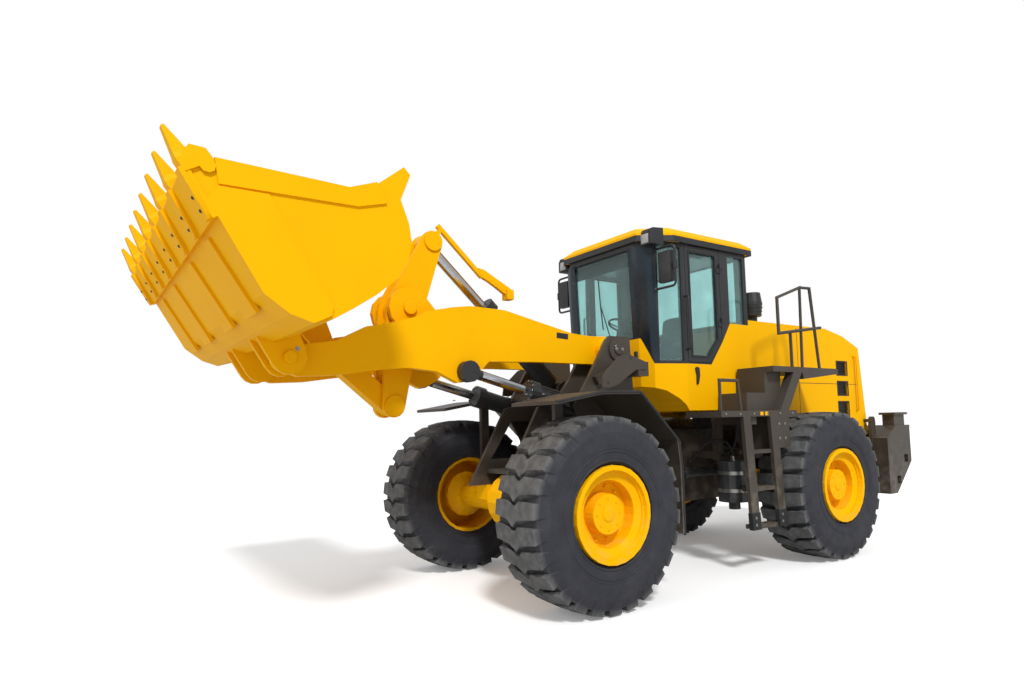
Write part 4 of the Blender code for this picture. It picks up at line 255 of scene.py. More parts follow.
def rod_metal(name, eyes, eye_colour, rough=(0.08, 0.2)):
    """Plated rod whose eye is painted."""
    n = Nodes(name)
    streak = n.noise(30.0, 5.0, (1.0, 1.0, 8.0))
    eye = n.near(eyes[0], eyes[1])
    colour = n.mix(eye, n.mix(n.ramp(streak, 0.4, 0.7), (0.62, 0.64, 0.67), (0.45, 0.47, 0.50)), eye_colour)
    roughness = n.math("MAXIMUM", n.ramp(streak, 0.3, 0.7, *rough), n.math("MULTIPLY", eye, 0.45))
    n.bump([(n.noise(200.0, 2.0), 0.03)], 0.002)
    return n.finish(colour, roughness, metallic=n.math("SUBTRACT", 1.0, eye))


def tint(name, base, second):
    """Black printed edge of a pane: dark, smooth and mirror-like."""
    n = Nodes(name)
    colour = n.mix(n.ramp(n.noise(2.5, 5.0), 0.35, 0.7), base, second)
    return n.finish(colour, n.ramp(n.noise(7.0, 6.0), 0.4, 0.8, 0.22, 0.32), specular=0.35)


def glass(name, base, smudge=0.06, see=0.92):
    n = Nodes(name)
    haze = n.ramp(n.noise(3.5, 8.0), 0.45, 0.8)
    colour = n.mix(haze, base, tuple(min(1.0, 1.12 * c) for c in base))
    made = n.finish(colour, n.ramp(n.noise(6.0, 8.0), 0.4, 0.8, 0.0, smudge))
    n.shader.inputs["Transmission Weight"].default_value = see
    n.shader.inputs["IOR"].default_value = 1.45
    return made


def lens(name, base, strength=0.5, see=0.6):
    """Ribbed lamp glass."""
    n = Nodes(name)
    wave = n.add("ShaderNodeTexWave", bands_direction="Y")
    wave.inputs["Scale"].default_value = 38.0
    n.link(n.place, wave.inputs["Vector"])
    colour = n.mix(n.ramp(wave.outputs["Fac"], 0.0, 1.0, 0.0, 0.4), base, tuple(0.7 * c for c in base))
    n.bump([(wave.outputs["Fac"], strength)], 0.003)
    made = n.finish(colour, n.ramp(n.noise(20.0), 0.3, 0.7, 0.04, 0.14), coat=0.6)
    n.shader.inputs["Transmission Weight"].default_value = see
    return made


def fabric(name, base, second):
    """Woven seat cloth."""
    n = Nodes(name)
    threads = []
    for direction in ("X", "Y"):
        wave = n.add("ShaderNodeTexWave", bands_direction=direction)
        wave.inputs["Scale"].default_value = 160.0
        wave.inputs["Distortion"].default_value = 0.6
        n.link(n.place, wave.inputs["Vector"])
        threads.append(wave.outputs["Fac"])
    weave = n.math("MAXIMUM", *threads)
    colour = n.mix(n.ramp(weave, 0.3, 1.0), second, base)
    n.bump([(weave, 0.5), (n.noise(9.0, 3.0), 0.2)], 0.002)
    made = n.finish(colour, n.ramp(n.noise(40.0), 0.3, 0.7, 0.75, 0.95))
    n.shader.inputs["Sheen Weight"].default_value = 0.3
    return made


YELLOW = (0.90, 0.452, 0.0)
YELLOW_SHADE = (0.875, 0.428, 0.0)
BROWN = (0.062, 0.050, 0.038)
BROWN_SHADE = (0.046, 0.038, 0.030)
BLACK = (0.02, 0.021, 0.023)
DUST = (0.42, 0.36, 0.28)
TYRE_WALL = (0.018, 0.019, 0.027)
TYRE_TREAD = (0.120, 0.122, 0.120)
# bodies that most pieces ride on
REAR = "rear_frame"
FRONT = "front_frame"
M = {
    "yellow": paint("paint_yellow", YELLOW, YELLOW_SHADE, 1.0, 0.16, (0.46, 0.60), 0.0, specular=0.06),
    "grey": paint("paint_brown_grey", BROWN, BROWN_SHADE, 1.3, 0.40, (0.36, 0.52), 0.15),
    "deck": paint("paint_deck", BROWN, BROWN_SHADE, 1.3, 0.40, (0.42, 0.6), 0.1, tread=True),
    "dark": paint("paint_black", (0.018, 0.019, 0.021), (0.026, 0.027, 0.029), 1.1, 0.30, (0.32, 0.5), 0.2),
    "block": paint("paint_block", (0.030, 0.031, 0.033), (0.05, 0.048, 0.045), 2.4, 0.45, (0.45, 0.6), 0.0),
    "plastic": plastic("plastic_black", (0.012, 0.013, 0.015), (0.022, 0.023, 0.025)),
    "trim": plastic("rubber_trim", (0.010, 0.011, 0.012), (0.020, 0.020, 0.021), (0.6, 0.8)),
    "inside": plastic("plastic_grey", (0.055, 0.060, 0.065), (0.075, 0.08, 0.085), (0.5, 0.7)),
    "tyre_front": rubber("tyre_rubber_front", TYRE_WALL, TYRE_TREAD, 0.10, AXLES[0][1]),
    "tyre_rear": rubber("tyre_rubber_rear", TYRE_WALL, TYRE_TREAD, 0.10, AXLES[1][1]),
    "hose": rubber("hose_rubber", (0.011, 0.012, 0.013), (0.07, 0.068, 0.065), 0.25),
    "steel": metal("zinc_steel", (0.42, 0.42, 0.40), (0.28, 0.45)),
    "mirror": metal("mirror_glass", (0.80, 0.82, 0.84), (0.02, 0.05)),
    "glass": glass("cab_glass", (0.55, 0.80, 0.79)),
    "edge": tint("glass_edge", (0.010, 0.018, 0.026), (0.020, 0.034, 0.046)),
    "band": glass("sun_band", (0.05, 0.07, 0.075), see=0.5),
    "lens": lens("lamp_lens", (0.90, 0.91, 0.92)),
    "red": lens("red_lens", (0.62, 0.012, 0.008), see=0.25),
    "cloth": fabric("seat_cloth", (0.055, 0.057, 0.062), (0.025, 0.026, 0.029)),
}
# (x, z) of the lift cylinders' feet and eyes and of the rocker's top, (x, y) of the left steering rod's eye
LIFT_FOOT = (0.76, 1.56)
LIFT_EYE = (2.485, 2.026)
LIFT_Y = 0.4725
ROCKER_TOP = (2.638, 3.247)
STEER_EYE = (0.40, 0.50)
STEER_Z = 1.0
CAD_FINISH = {
    "yellow": ["rear_axle", "front_axle", "cab_body", "cab_roof", "hood", "boom", "bucket", "bucket_teeth",
               "rocker", "link", "position_bar"] + ["rim_%s_%s" % (e, w) for e, _ in AXLES for w, _ in SIDES],
    "grey": [REAR, FRONT, "counterweight", "fender_left", "fender_right",
             "headlamp_left", "headlamp_right"],
    "deck": ["deck_left", "deck_right"],
    "dark": ["cab_frame", "cab_door", "tank_left", "tank_right", "grille", "tilt_barrel"]
            + ["%s_%s_barrel" % (k, w) for k in ("lift", "steer") for w, _ in SIDES],
    "block": ["engine", "radiator", "driveline"],
    "plastic": ["precleaner"],
    "tyre_front": ["tyre_front_" + w for w, _ in SIDES],
    "tyre_rear": ["tyre_rear_" + w for w, _ in SIDES],
    "glass": ["windshield"],
}


def dress(node, material):
    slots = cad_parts[node].data.materials
    slots.clear()
    slots.append(material)


for finish, names in CAD_FINISH.items():
    for node_name in names:
        dress(node_name, M[finish])
dress("tilt_rod", rod_metal("tilt_rod_chrome", ((ROCKER_TOP[0], 0, ROCKER_TOP[1]), 0.14), YELLOW))
for word, side in SIDES:
    dress("lift_%s_rod" % word,
          rod_metal("lift_rod_" + word, ((LIFT_EYE[0], side * LIFT_Y, LIFT_EYE[1]), 0.135), BLACK))
    dress("steer_%s_rod" % word,
          rod_metal("steer_rod_" + word, ((STEER_EYE[0], side * STEER_EYE[1], STEER_Z), 0.08), BLACK))


# Mesh helpers; all points are machine points
def piece(name, bm, material, body, smooth=32, subdivide=0):
    """Close a bmesh into an object that rides on a body."""
    bmesh.ops.recalc_face_normals(bm, faces=bm.faces)
    mesh = bpy.data.meshes.new(name)
    bm.to_mesh(mesh)
    bm.free()
    mesh.materials.append(M[material])
    mesh.shade_smooth()
    mesh.set_sharp_from_angle(angle=math.radians(smooth))
    made = bpy.data.objects.new(name, mesh)
    bpy.context.scene.collection.objects.link(made)
    if subdivide:
        step = made.modifiers.new("subdivide", "SUBSURF")
        step.levels = subdivide
        step.render_levels = subdivide
    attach(made, body)
    return made


def add_rings(bm, rings, closed=False):
    """Join rings of points into a skin, capped at its ends unless it closes on itself."""
    made = [[bm.verts.new(p) for p in ring] for ring in rings]
    pairs = list(zip(made, made[1:]))
    if closed:
        pairs.append((made[-1], made[0]))
    else:
        bm.faces.new(made[0])
        bm.faces.new(list(reversed(made[-1])))
    count = len(made[0])
    for low, high in pairs:
        for k in range(count):
            m = (k + 1) % count
            bm.faces.new((low[k], low[m], high[m], high[k]))


def add_box(bm, lo, hi, bevel=0.004):
    """A box with eased edges, from two machine corners."""
    part = bmesh.new()
    xs, ys, zs = zip(lo, hi)
    corners = [part.verts.new(at(x, y, z)) for x in xs for y in ys for z in zs]
    for face in ((0, 1, 3, 2), (4, 6, 7, 5), (0, 4, 5, 1), (2, 3, 7, 6), (0, 2, 6, 4), (1, 5, 7, 3)):
        part.faces.new([corners[i] for i in face])
    merge(bm, part, bevel)


def add_prism(bm, outline, low, high, bevel=0.003):
    """An (x, z) outline between two sideways places."""
    part = bmesh.new()
    add_rings(part, [[at(x, y, z) for x, z in outline] for y in (low, high)])
    merge(bm, part, bevel)


def merge(bm, part, bevel):
    if bevel:
        bmesh.ops.bevel(part, geom=list(part.edges), offset=bevel, segments=2, profile=0.7, affect="EDGES")
    mesh = bpy.data.meshes.new("part")
    part.to_mesh(mesh)
    part.free()
    bm.from_mesh(mesh)
    bpy.data.meshes.remove(mesh)


def basis(axis):
    axis = Vector(axis).normalized()
    side = axis.orthogonal().normalized()
    return axis, side, axis.cross(side)


def add_lathe(bm, centre, axis, profile, sides=24, turn=0.0, hollow=False):
    """Turn a (radius, along) profile about an axis; a hollow one closes on itself."""
    axis, side, up = basis(axis)
    start = at(*centre)
    rings = []
    for radius, along in profile:
        level = start + axis * along
        ring = []
        for k in range(sides):
            angle = turn + TAU * k / sides
            ring.append(level + side * (radius * math.cos(angle)) + up * (radius * math.sin(angle)))
        rings.append(ring)
    add_rings(bm, rings, closed=hollow)


def add_band(bm, centre, axis, inner, outer, half, sides):
    """A hollow ring of rectangular section."""
    section = [(inner, -half), (outer, -half), (outer, half), (inner, half)]
    add_lathe(bm, centre, axis, section, sides, hollow=True)


def add_border(bm, outer, inner, low, high, bevel):
    """A frame of mitred strips between two outlines."""
    for a, b, c, d in zip(outer, outer[1:] + outer[:1], inner[1:] + inner[:1], inner):
        add_prism(bm, [a, b, c, d], low, high, bevel)


def add_bolt(bm, place, axis, radius=0.012, height=0.009):
    """A washer and a hexagon head with an eased top."""
    washer = radius * 1.45
    add_lathe(bm, place, axis, [(washer, -0.004), (washer, 0.003)], 14)
    rounded = height * 0.8
    add_lathe(bm, place, axis, [(radius, -0.002), (radius, rounded), (radius * 0.82, height)], 6)


def smooth_path(points, count):
    """Catmull-Rom points through the given ones, evenly spaced along the curve."""
    pts = [Vector(p) for p in points]
    pts = [pts[0] * 2 - pts[1]] + pts + [pts[-1] * 2 - pts[-2]]
    fine = []
    for a, b, c, d in zip(pts, pts[1:], pts[2:], pts[3:]):
        for k in range(24):
            t = k / 24
            fine.append(0.5 * ((b * 2) + (c - a) * t + (a * 2 - b * 5 + c * 4 - d) * t ** 2
                               + (b * 3 - a - c * 3 + d) * t ** 3))
    fine.append(pts[-2])
    lengths = [0.0]
    for a, b in zip(fine, fine[1:]):
        lengths.append(lengths[-1] + (b - a).length)
    out = []
    index = 0
    for k in range(count):
        want = lengths[-1] * k / (count - 1)
        while index < len(fine) - 2 and lengths[index + 1] < want:
            index += 1
        run = lengths[index + 1] - lengths[index]
        out.append(fine[index].lerp(fine[index + 1], (want - lengths[index]) / run if run else 0))
    return out


def add_tube(bm, path, radius, sides=10):
    """A round tube along machine points."""
    pts = [at(*p) for p in path]
    side = (pts[1] - pts[0]).orthogonal().normalized()
    rings = []
    for i, here in enumerate(pts):
        into = (here - pts[max(i - 1, 0)]) if i else pts[1] - pts[0]
        out = (pts[i + 1] - here) if i < len(pts) - 1 else into
        along = (into.normalized() + out.normalized()).normalized()
        side = (side - along * side.dot(along)).normalized()
        up = along.cross(side)
        turns = [TAU * k / sides for k in range(sides)]
        rings.append([here + side * (radius * math.cos(t)) + up * (radius * math.sin(t)) for t in turns])
    add_rings(bm, rings)


def rounded(points, radius, steps=4):
    """A path whose corners are rounded."""
    pts = [Vector(p) for p in points]
    out = [pts[0]]
    for a, b, c in zip(pts, pts[1:], pts[2:]):
        reach = min(radius, (b - a).length / 2, (c - b).length / 2)
        start = b + (a - b).normalized() * reach
        end = b + (c - b).normalized() * reach
        for k in range(steps + 1):
            t = k / steps
            out.append(start.lerp(b, t).lerp(b.lerp(end, t), t))
    out.append(pts[-1])
    return out


def inset(points, distance):
    """Move every side of a closed outline inwards."""
    area = sum(a[0] * b[1] - b[0] * a[1] for a, b in zip(points, points[1:] + points[:1]))
    turn = 1 if area > 0 else -1
    lines = []
    for a, b in zip(points, points[1:] + points[:1]):
        dx, dz = b[0] - a[0], b[1] - a[1]
        step = turn * distance / math.hypot(dx, dz)
        lines.append((a[0] - dz * step, a[1] + dx * step, dx, dz))
    moved = []
    for (ax, az, adx, adz), (bx, bz, bdx, bdz) in zip(lines[-1:] + lines[:-1], lines):
        share = ((bx - ax) * bdz - (bz - az) * bdx) / (adx * bdz - adz * bdx)
        moved.append((ax + adx * share, az + adz * share))
    return moved


# squares along each side of a cushion's grid
CELLS = 26


def pad(name, lo, hi, crown, channels, lean=0.0):
    """A crowned seat cushion with pulled-in corners and sewn channels across it."""
    bm = bmesh.new()
    half = [(hi[i] - lo[i]) / 2 for i in range(3)]
    mid = [(hi[i] + lo[i]) / 2 for i in range(3)]
    upright = half[2] > half[0]
    faces = {}
    for level in (-1, 1):
        for i in range(CELLS + 1):
            for j in range(CELLS + 1):
                u, v = 2 * i / CELLS - 1, 2 * j / CELLS - 1
                edge = (1 - u ** 6) * (1 - v ** 6)
                pull = 1 - 0.05 * (u * v) ** 2
                dome = crown * (1 - u * u) * (1 - v * v) * (1 if level > 0 else 0.3)
                rise = edge ** 0.35 * (1 - crown) + dome
                for c in channels:
                    rise -= 0.16 * math.exp(-((u - c) / 0.035) ** 2) * edge
                lift = level * max(rise, 0.02 * edge)
                across = mid[1] + half[1] * v * pull
                if upright:
                    place = (mid[0] + half[0] * lift + lean * u, across, mid[2] + half[2] * u * pull)
                else:
                    place = (mid[0] + half[0] * u * pull, across, mid[2] + half[2] * lift)
                border = i in (0, CELLS) or j in (0, CELLS)
                key = (0 if border else level, i, j)
                if key not in faces:
                    faces[key] = bm.verts.new(at(*place))
    for level in (-1, 1):
        for i in range(CELLS):
            for j in range(CELLS):
                quad = [faces[(0 if a in (0, CELLS) or b in (0, CELLS) else level, a, b)]
                        for a, b in ((i, j), (i + 1, j), (i + 1, j + 1), (i, j + 1))]
                bm.faces.new(quad if level > 0 else quad[::-1])
    made = piece(name, bm, "cloth", REAR, smooth=60, subdivide=1)
    return made


# Hoses: cords that go back into the machine
HOSE = 0.022
# points from end to end
TANK_ROUTE = ((-0.45, 0.92, 1.12), (-0.45, 0.92, 1.22), (-0.42, 0.84, 1.33), (-0.36, 0.66, 1.30),
              (-0.32, 0.50, 1.12), (-0.345, 0.405, 1.07))
VALVE_ROUTE = ((-0.45, 0.781, 1.18), (-0.47, 0.84, 1.185), (-0.52, 0.89, 1.27), (-0.56, 0.90, 1.40),
               (-0.58, 0.90, 1.578))


def make_hose(name, body, points, count=30):
    path = smooth_path(points, count)
    bm = bmesh.new()
    add_tube(bm, path, HOSE / 2, 12)
    made = piece(name, bm, "hose", body)


for word, side in SIDES:
    make_hose("hose_tank_" + word, REAR, [(x, side * y, z) for x, y, z in TANK_ROUTE])
make_hose("hose_valve_a", REAR, list(VALVE_ROUTE))


# Wheels
NUT_RADIUS, NUT_Y = 0.224, 0.104
CAP_BOLT_RADIUS, CAP_Y = 0.125, 0.2095
# (radius, along) section of the hub's cap
CAP_SECTION = [(0.05, -0.003), (0.062, -0.003), (0.062, 0.006), (0.056, 0.009), (0.03, 0.009), (0.004, 0.010)]
# beads of the rim's edge: radius, half width
RIM_BEADS = ((0.352, 0.008), (0.378, 0.006))
RIM_BEAD_Y = 0.246
RIM_BEAD_FOOT = -0.012
# rings on the side wall: radius, place from the tyre's middle, thickness
TYRE_RIBS = ((0.435, 0.2785, 0.010), (0.512, 0.2905, 0.007), (0.538, 0.2945, 0.004))


def wheel_details():
    for end, axle_x in AXLES:
        for word, side in SIDES:
            body = "wheel_%s_%s" % (end, word)
            label = "%s_%s" % (end, word)
            axis = (0, side, 0)
            nuts = bmesh.new()
            for k in range(12):
                turn = TAU * (k + 0.5) / 12
                place = (axle_x + NUT_RADIUS * math.cos(turn), side * (WHEEL_Y + NUT_Y),
                         AXLE_Z + NUT_RADIUS * math.sin(turn))
                add_bolt(nuts, place, axis, 0.015, 0.02)
            for k in range(8):
                turn = TAU * k / 8
                place = (axle_x + CAP_BOLT_RADIUS * math.cos(turn), side * (WHEEL_Y + CAP_Y),
                         AXLE_Z + CAP_BOLT_RADIUS * math.sin(turn))
                add_bolt(nuts, place, axis, 0.009, 0.007)
            piece("nuts_" + label, nuts, "yellow", body)
            cap = bmesh.new()
            add_lathe(cap, (axle_x, side * (WHEEL_Y + CAP_Y), AXLE_Z), axis, CAP_SECTION, 28)
            for radius, lip in RIM_BEADS:
                bead = [(radius - lip, RIM_BEAD_FOOT), (radius - lip, lip), (radius, lip * 1.4),
                        (radius + lip, lip), (radius + lip, RIM_BEAD_FOOT)]
                add_lathe(cap, (axle_x, side * (WHEEL_Y + RIM_BEAD_Y), AXLE_Z), axis, bead, 72, hollow=True)
            piece("hub_rings_" + label, cap, "yellow", body)
            ribs = bmesh.new()
            for face in (1, -1):
                for radius, y, thick in TYRE_RIBS:
                    profile = [(radius + thick * math.cos(TAU * k / 8), thick * 0.8 * math.sin(TAU * k / 8))
                               for k in range(8)]
                    centre = (axle_x, side * WHEEL_Y + face * y, AXLE_Z)
                    add_lathe(ribs, centre, (0, face, 0), profile, 96, hollow=True)
            piece("tyre_ribs_" + label, ribs, "tyre_" + end, body, smooth=50)


wheel_details()


# Cab glass, seals, wiper, lamps
DOOR = [(-0.345, 2.17), (0.0, 2.17), (0.0, 3.42), (-0.55, 3.42), (-0.55, 2.41)]
PANE = 0.006
PANE_Y = 0.752
PANE_TOP = 3.382
REAR_SILL = 2.6205
# the cab's front leans forward by LEAN_X over LEAN_HEIGHT, from SILL_Z up
SILL_Z = 2.15
LEAN_X = 0.05
LEAN_HEIGHT = 1.29
BAND_Z = (3.20, 3.378)
# plan of the dark edge that carries the windshield round to the side glass, at the sill
EDGE_PLAN = ((0.456, 0.445), (0.456, 0.520), (0.429, 0.594), (0.387, 0.662), (0.328, 0.683))
# side view of the handle below the door
SIDE_HANDLE = ((-0.085, 2.10), (-0.105, 2.12), (-0.145, 2.11), (-0.15, 2.03), (-0.125, 1.94), (-0.10, 1.93),
               (-0.105, 2.03))


def side_y(x, z):
    """Half width of the cab at a place on its side."""
    corner = 0.38 + LEAN_X * (z - SILL_Z) / LEAN_HEIGHT
    return 0.78 - 0.125 * (x - 0.03) / (corner - 0.03)


def cab_panes():
    for word, side in SIDES:
        body = "door" if side > 0 else REAR
        pane = bmesh.new()
        add_prism(pane, inset(DOOR, 0.056), side * PANE_Y, side * (PANE_Y + PANE), 0)
        piece("pane_door_" + word, pane, "glass", body)
        seal = bmesh.new()
        add_border(seal, inset(DOOR, 0.048), inset(DOOR, 0.072), side * 0.745, side * 0.7845, 0.0015)
        piece("seal_door_" + word, seal, "trim", body)
        front = bmesh.new()
        corners = ((0.058, 2.178), (0.322, 2.178), (0.322, PANE_TOP), (0.058, PANE_TOP))
        rings = [[at(x, side * (side_y(x, z) - back), z) for x, z in corners]
                 for back in (0.028, 0.028 - PANE)]
        add_rings(front, rings)
        piece("pane_front_" + word, front, "glass", REAR)
        quarter = bmesh.new()
        corners = [(-0.962, REAR_SILL), (-0.698, REAR_SILL), (-0.698, PANE_TOP), (-0.962, PANE_TOP)]
        add_prism(quarter, corners, side * PANE_Y, side * (PANE_Y + PANE), 0)
        piece("pane_quarter_" + word, quarter, "glass", REAR)
    rear = bmesh.new()
    add_box(rear, (-1.0, -0.657, REAR_SILL), (-0.994, 0.657, PANE_TOP), 0)
    piece("pane_rear", rear, "glass", REAR)
    band = bmesh.new()
    lean = LEAN_X / LEAN_HEIGHT
    corners = [(0, BAND_Z[0]), (0, BAND_Z[1]), (0.0015, BAND_Z[1]), (0.0015, BAND_Z[0])]
    outline = [(0.4285 + lean * (z - SILL_Z) + step, z) for step, z in corners]
    add_prism(band, outline, -0.455, 0.455, 0)
    piece("sun_band", band, "band", REAR)
    gasket = bmesh.new()
    loop = [(0.452 + lean * (z - SILL_Z) - 0.012, y, z) for y, z in
            ((-0.462, 2.43), (-0.462, 3.375), (0.462, 3.375), (0.462, 2.43), (-0.462, 2.43), (-0.462, 2.46))]
    add_tube(gasket, rounded(loop, 0.03), 0.011, 8)
    piece("windshield_gasket", gasket, "trim", REAR)
    for word, side in SIDES:
        edge = bmesh.new()
        rings = []
        for top in (False, True):
            ring = []
            outer = rounded([(x, y, 0) for x, y in EDGE_PLAN], 0.05, 4)
            inner = [(x - 0.003, y - 0.003, 0) for x, y, _ in reversed(outer)]
            for x, y, _ in list(outer) + inner:
                low = 2.172 + 0.262 * min(1.0, max(0.0, (x - 0.380) / 0.066))
                z = 3.385 if top else low
                ring.append(at(x + lean * (z - SILL_Z), side * y, z))
            rings.append(ring)
        add_rings(edge, rings)
        piece("windshield_edge_" + word, edge, "edge", REAR, smooth=40)
        bar = bmesh.new()
        path = [(0.03, side * 0.775, 2.86), (0.03, side * 0.835, 2.86), (0.028, side * 0.84, 2.30),
                (0.028, side * 0.775, 2.30)]
        add_tube(bar, rounded(path, 0.04, 5), 0.011, 12)
        piece("grab_bar_" + word, bar, "plastic", REAR)
        handle = bmesh.new()
        add_prism(handle, SIDE_HANDLE, side * 0.779, side * 0.797, 0.004)
        piece("side_handle_" + word, handle, "plastic", REAR)
    wiper = bmesh.new()
    add_lathe(wiper, (0.448, 0.10, 2.47), (1, 0, 0), [(0.02, -0.01), (0.02, 0.02), (0.012, 0.026)], 16)
    add_tube(wiper, [(0.470, 0.10, 2.47), (0.472, 0.02, 2.70), (0.478, -0.04, 2.86)], 0.006, 8)
    add_tube(wiper, [(0.462, -0.02, 2.58), (0.470, -0.045, 2.86), (0.478, -0.06, 3.14)], 0.007, 6)
    piece("wiper", wiper, "trim", REAR)


cab_panes()


# side view of the plate that carries a headlamp's box
LAMP_PLATE = ((1.284, 1.883), (1.267, 1.995), (1.07, 2.171), (0.95, 2.212), (0.70, 2.139), (0.70, 2.06),
              (0.84, 2.06), (1.083, 1.905), (1.198, 1.875))
ROOF_PLAN = [(-1.10, 0.81), (0.18, 0.81), (0.53, 0.60), (0.53, -0.60), (0.18, -0.81), (-1.10, -0.81)]


def lamp(name, place, axis, radius, body, glass_kind, depth=0.014):
    """A round lamp: a black bezel and a domed lens."""
    rim = bmesh.new()
    section = [(radius * 0.80, -0.004), (radius, -0.004), (radius, depth * 0.8), (radius * 0.94, depth),
               (radius * 0.84, depth * 0.7)]
    add_lathe(rim, place, axis, section, 28, hollow=True)
    piece(name + "_bezel", rim, "plastic", body)
    face = bmesh.new()
    glass = radius * 0.86
    dome = [(glass, -0.003), (glass, depth * 0.35)]
    dome += [(glass * math.cos(a), depth * (0.35 + 0.55 * math.sin(a))) for a in (0.5, 0.9, 1.25, 1.5)]
    add_lathe(face, place, axis, dome, 28)
    piece(name + "_lens", face, glass_kind, body)


def lamps():
    for word, side in SIDES:
        pod = bmesh.new()
        add_prism(pod, [(0.30, 3.375), (0.474, 3.375), (0.474, 3.50), (0.45, 3.545), (0.30, 3.56)],
                  side * 0.605, side * 0.775, 0.008)
        piece("roof_lamp_pod_" + word, pod, "plastic", REAR)
        face = bmesh.new()
        add_box(face, (0.474, side * 0.632, 3.392), (0.486, side * 0.732, 3.488), 0.005)
        piece("roof_lamp_lens_" + word, face, "lens", REAR)
        lamp("rear_lamp_" + word, (-3.931, side * 0.955, 1.515), (-1, 0, 0), 0.040, REAR, "red")
        bar = bmesh.new()
        add_box(bar, (0.715, side * 0.73, 2.135), (0.745, side * 0.76, 2.25), 0.008)
        piece("lamp_stalk_" + word, bar, "plastic", FRONT)
        plate = bmesh.new()
        add_prism(plate, LAMP_PLATE, side * 0.8405, side * 0.8485, 0.003)
        for x, z in ((0.90, 2.17), (1.20, 1.93)):
            add_bolt(plate, (x, side * 0.848, z), (0, side, 0), 0.010, 0.008)
        piece("lamp_plate_" + word, plate, "grey", FRONT)
        strip = bmesh.new()
        add_box(strip, (0.706, side * 1.255, 1.22), (0.7115, side * 1.215, 1.36), 0.002)
        piece("reflector_" + word, strip, "red", FRONT)
    trim = bmesh.new()
    for (x0, y0), (x1, y1) in zip(ROOF_PLAN, ROOF_PLAN[1:] + ROOF_PLAN[:1]):
        edge = Vector((x1 - x0, y1 - y0, 0)).normalized()
        out = Vector((edge.y, -edge.x, 0))
        middle = Vector(((x0 + x1) / 2, (y0 + y1) / 2, 0))
        out = out if out.dot(middle - Vector((-0.3, 0, 0))) > 0 else -out
        corners = [Vector((x0, y0, 0)) + out * 0.004, Vector((x1, y1, 0)) + out * 0.004,
                   Vector((x1, y1, 0)) - out * 0.004, Vector((x0, y0, 0)) - out * 0.004]
        add_rings(trim, [[at(c.x, c.y, z) for c in corners] for z in (3.427, 3.489)])
    piece("roof_trim", trim, "plastic", REAR)


lamps()


# Mirrors: rounded heads on tube arms
ARM_X = 0.34
ARM_TUBE = 0.012
# low end, head's clamp and high end of the arm
ARM_LOW, ARM_CLAMP, ARM_HIGH = 2.92, 3.13, 3.34


def mirrors():
    clamp = [(0.008, -0.04), (0.022, -0.04), (0.022, 0.04), (0.008, 0.04)]
    foot = [(0.026, -0.006), (0.026, 0.008), (0.016, 0.018)]
    for word, side in SIDES:
        bm = bmesh.new()
        root = side_y(ARM_X, ARM_LOW) - 0.004
        high_root = side_y(ARM_X, ARM_HIGH) - 0.004
        reach = side * 0.952
        path = [(ARM_X, side * root, ARM_LOW), (ARM_X, reach, ARM_LOW), (ARM_X, reach, ARM_HIGH),
                (ARM_X, side * high_root, ARM_HIGH)]
        add_tube(bm, rounded(path, 0.05, 6), ARM_TUBE, 12)
        add_lathe(bm, (ARM_X, reach, ARM_CLAMP), (0, 0, 1), clamp, 14)
        add_tube(bm, [(ARM_X, reach, ARM_CLAMP), (ARM_X, side * 0.90, ARM_CLAMP)], ARM_TUBE, 10)
        for z, y in ((ARM_LOW, root), (ARM_HIGH, high_root)):
            add_lathe(bm, (ARM_X, side * (y + 0.004), z), (0, side, 0), foot, 16)
        piece("mirror_arm_" + word, bm, "plastic", REAR)
        head = bmesh.new()
        add_box(head, (0.306, side * 0.742, 2.965), (0.372, side * 0.918, 3.295), 0.032)
        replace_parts(piece("mirror_head_" + word, head, "plastic", REAR, smooth=50), "mirror_" + word)
        face = bmesh.new()
        add_box(face, (0.3045, side * 0.758, 2.985), (0.3065, side * 0.902, 3.275), 0)
        piece("mirror_face_" + word, face, "mirror", REAR)


mirrors()


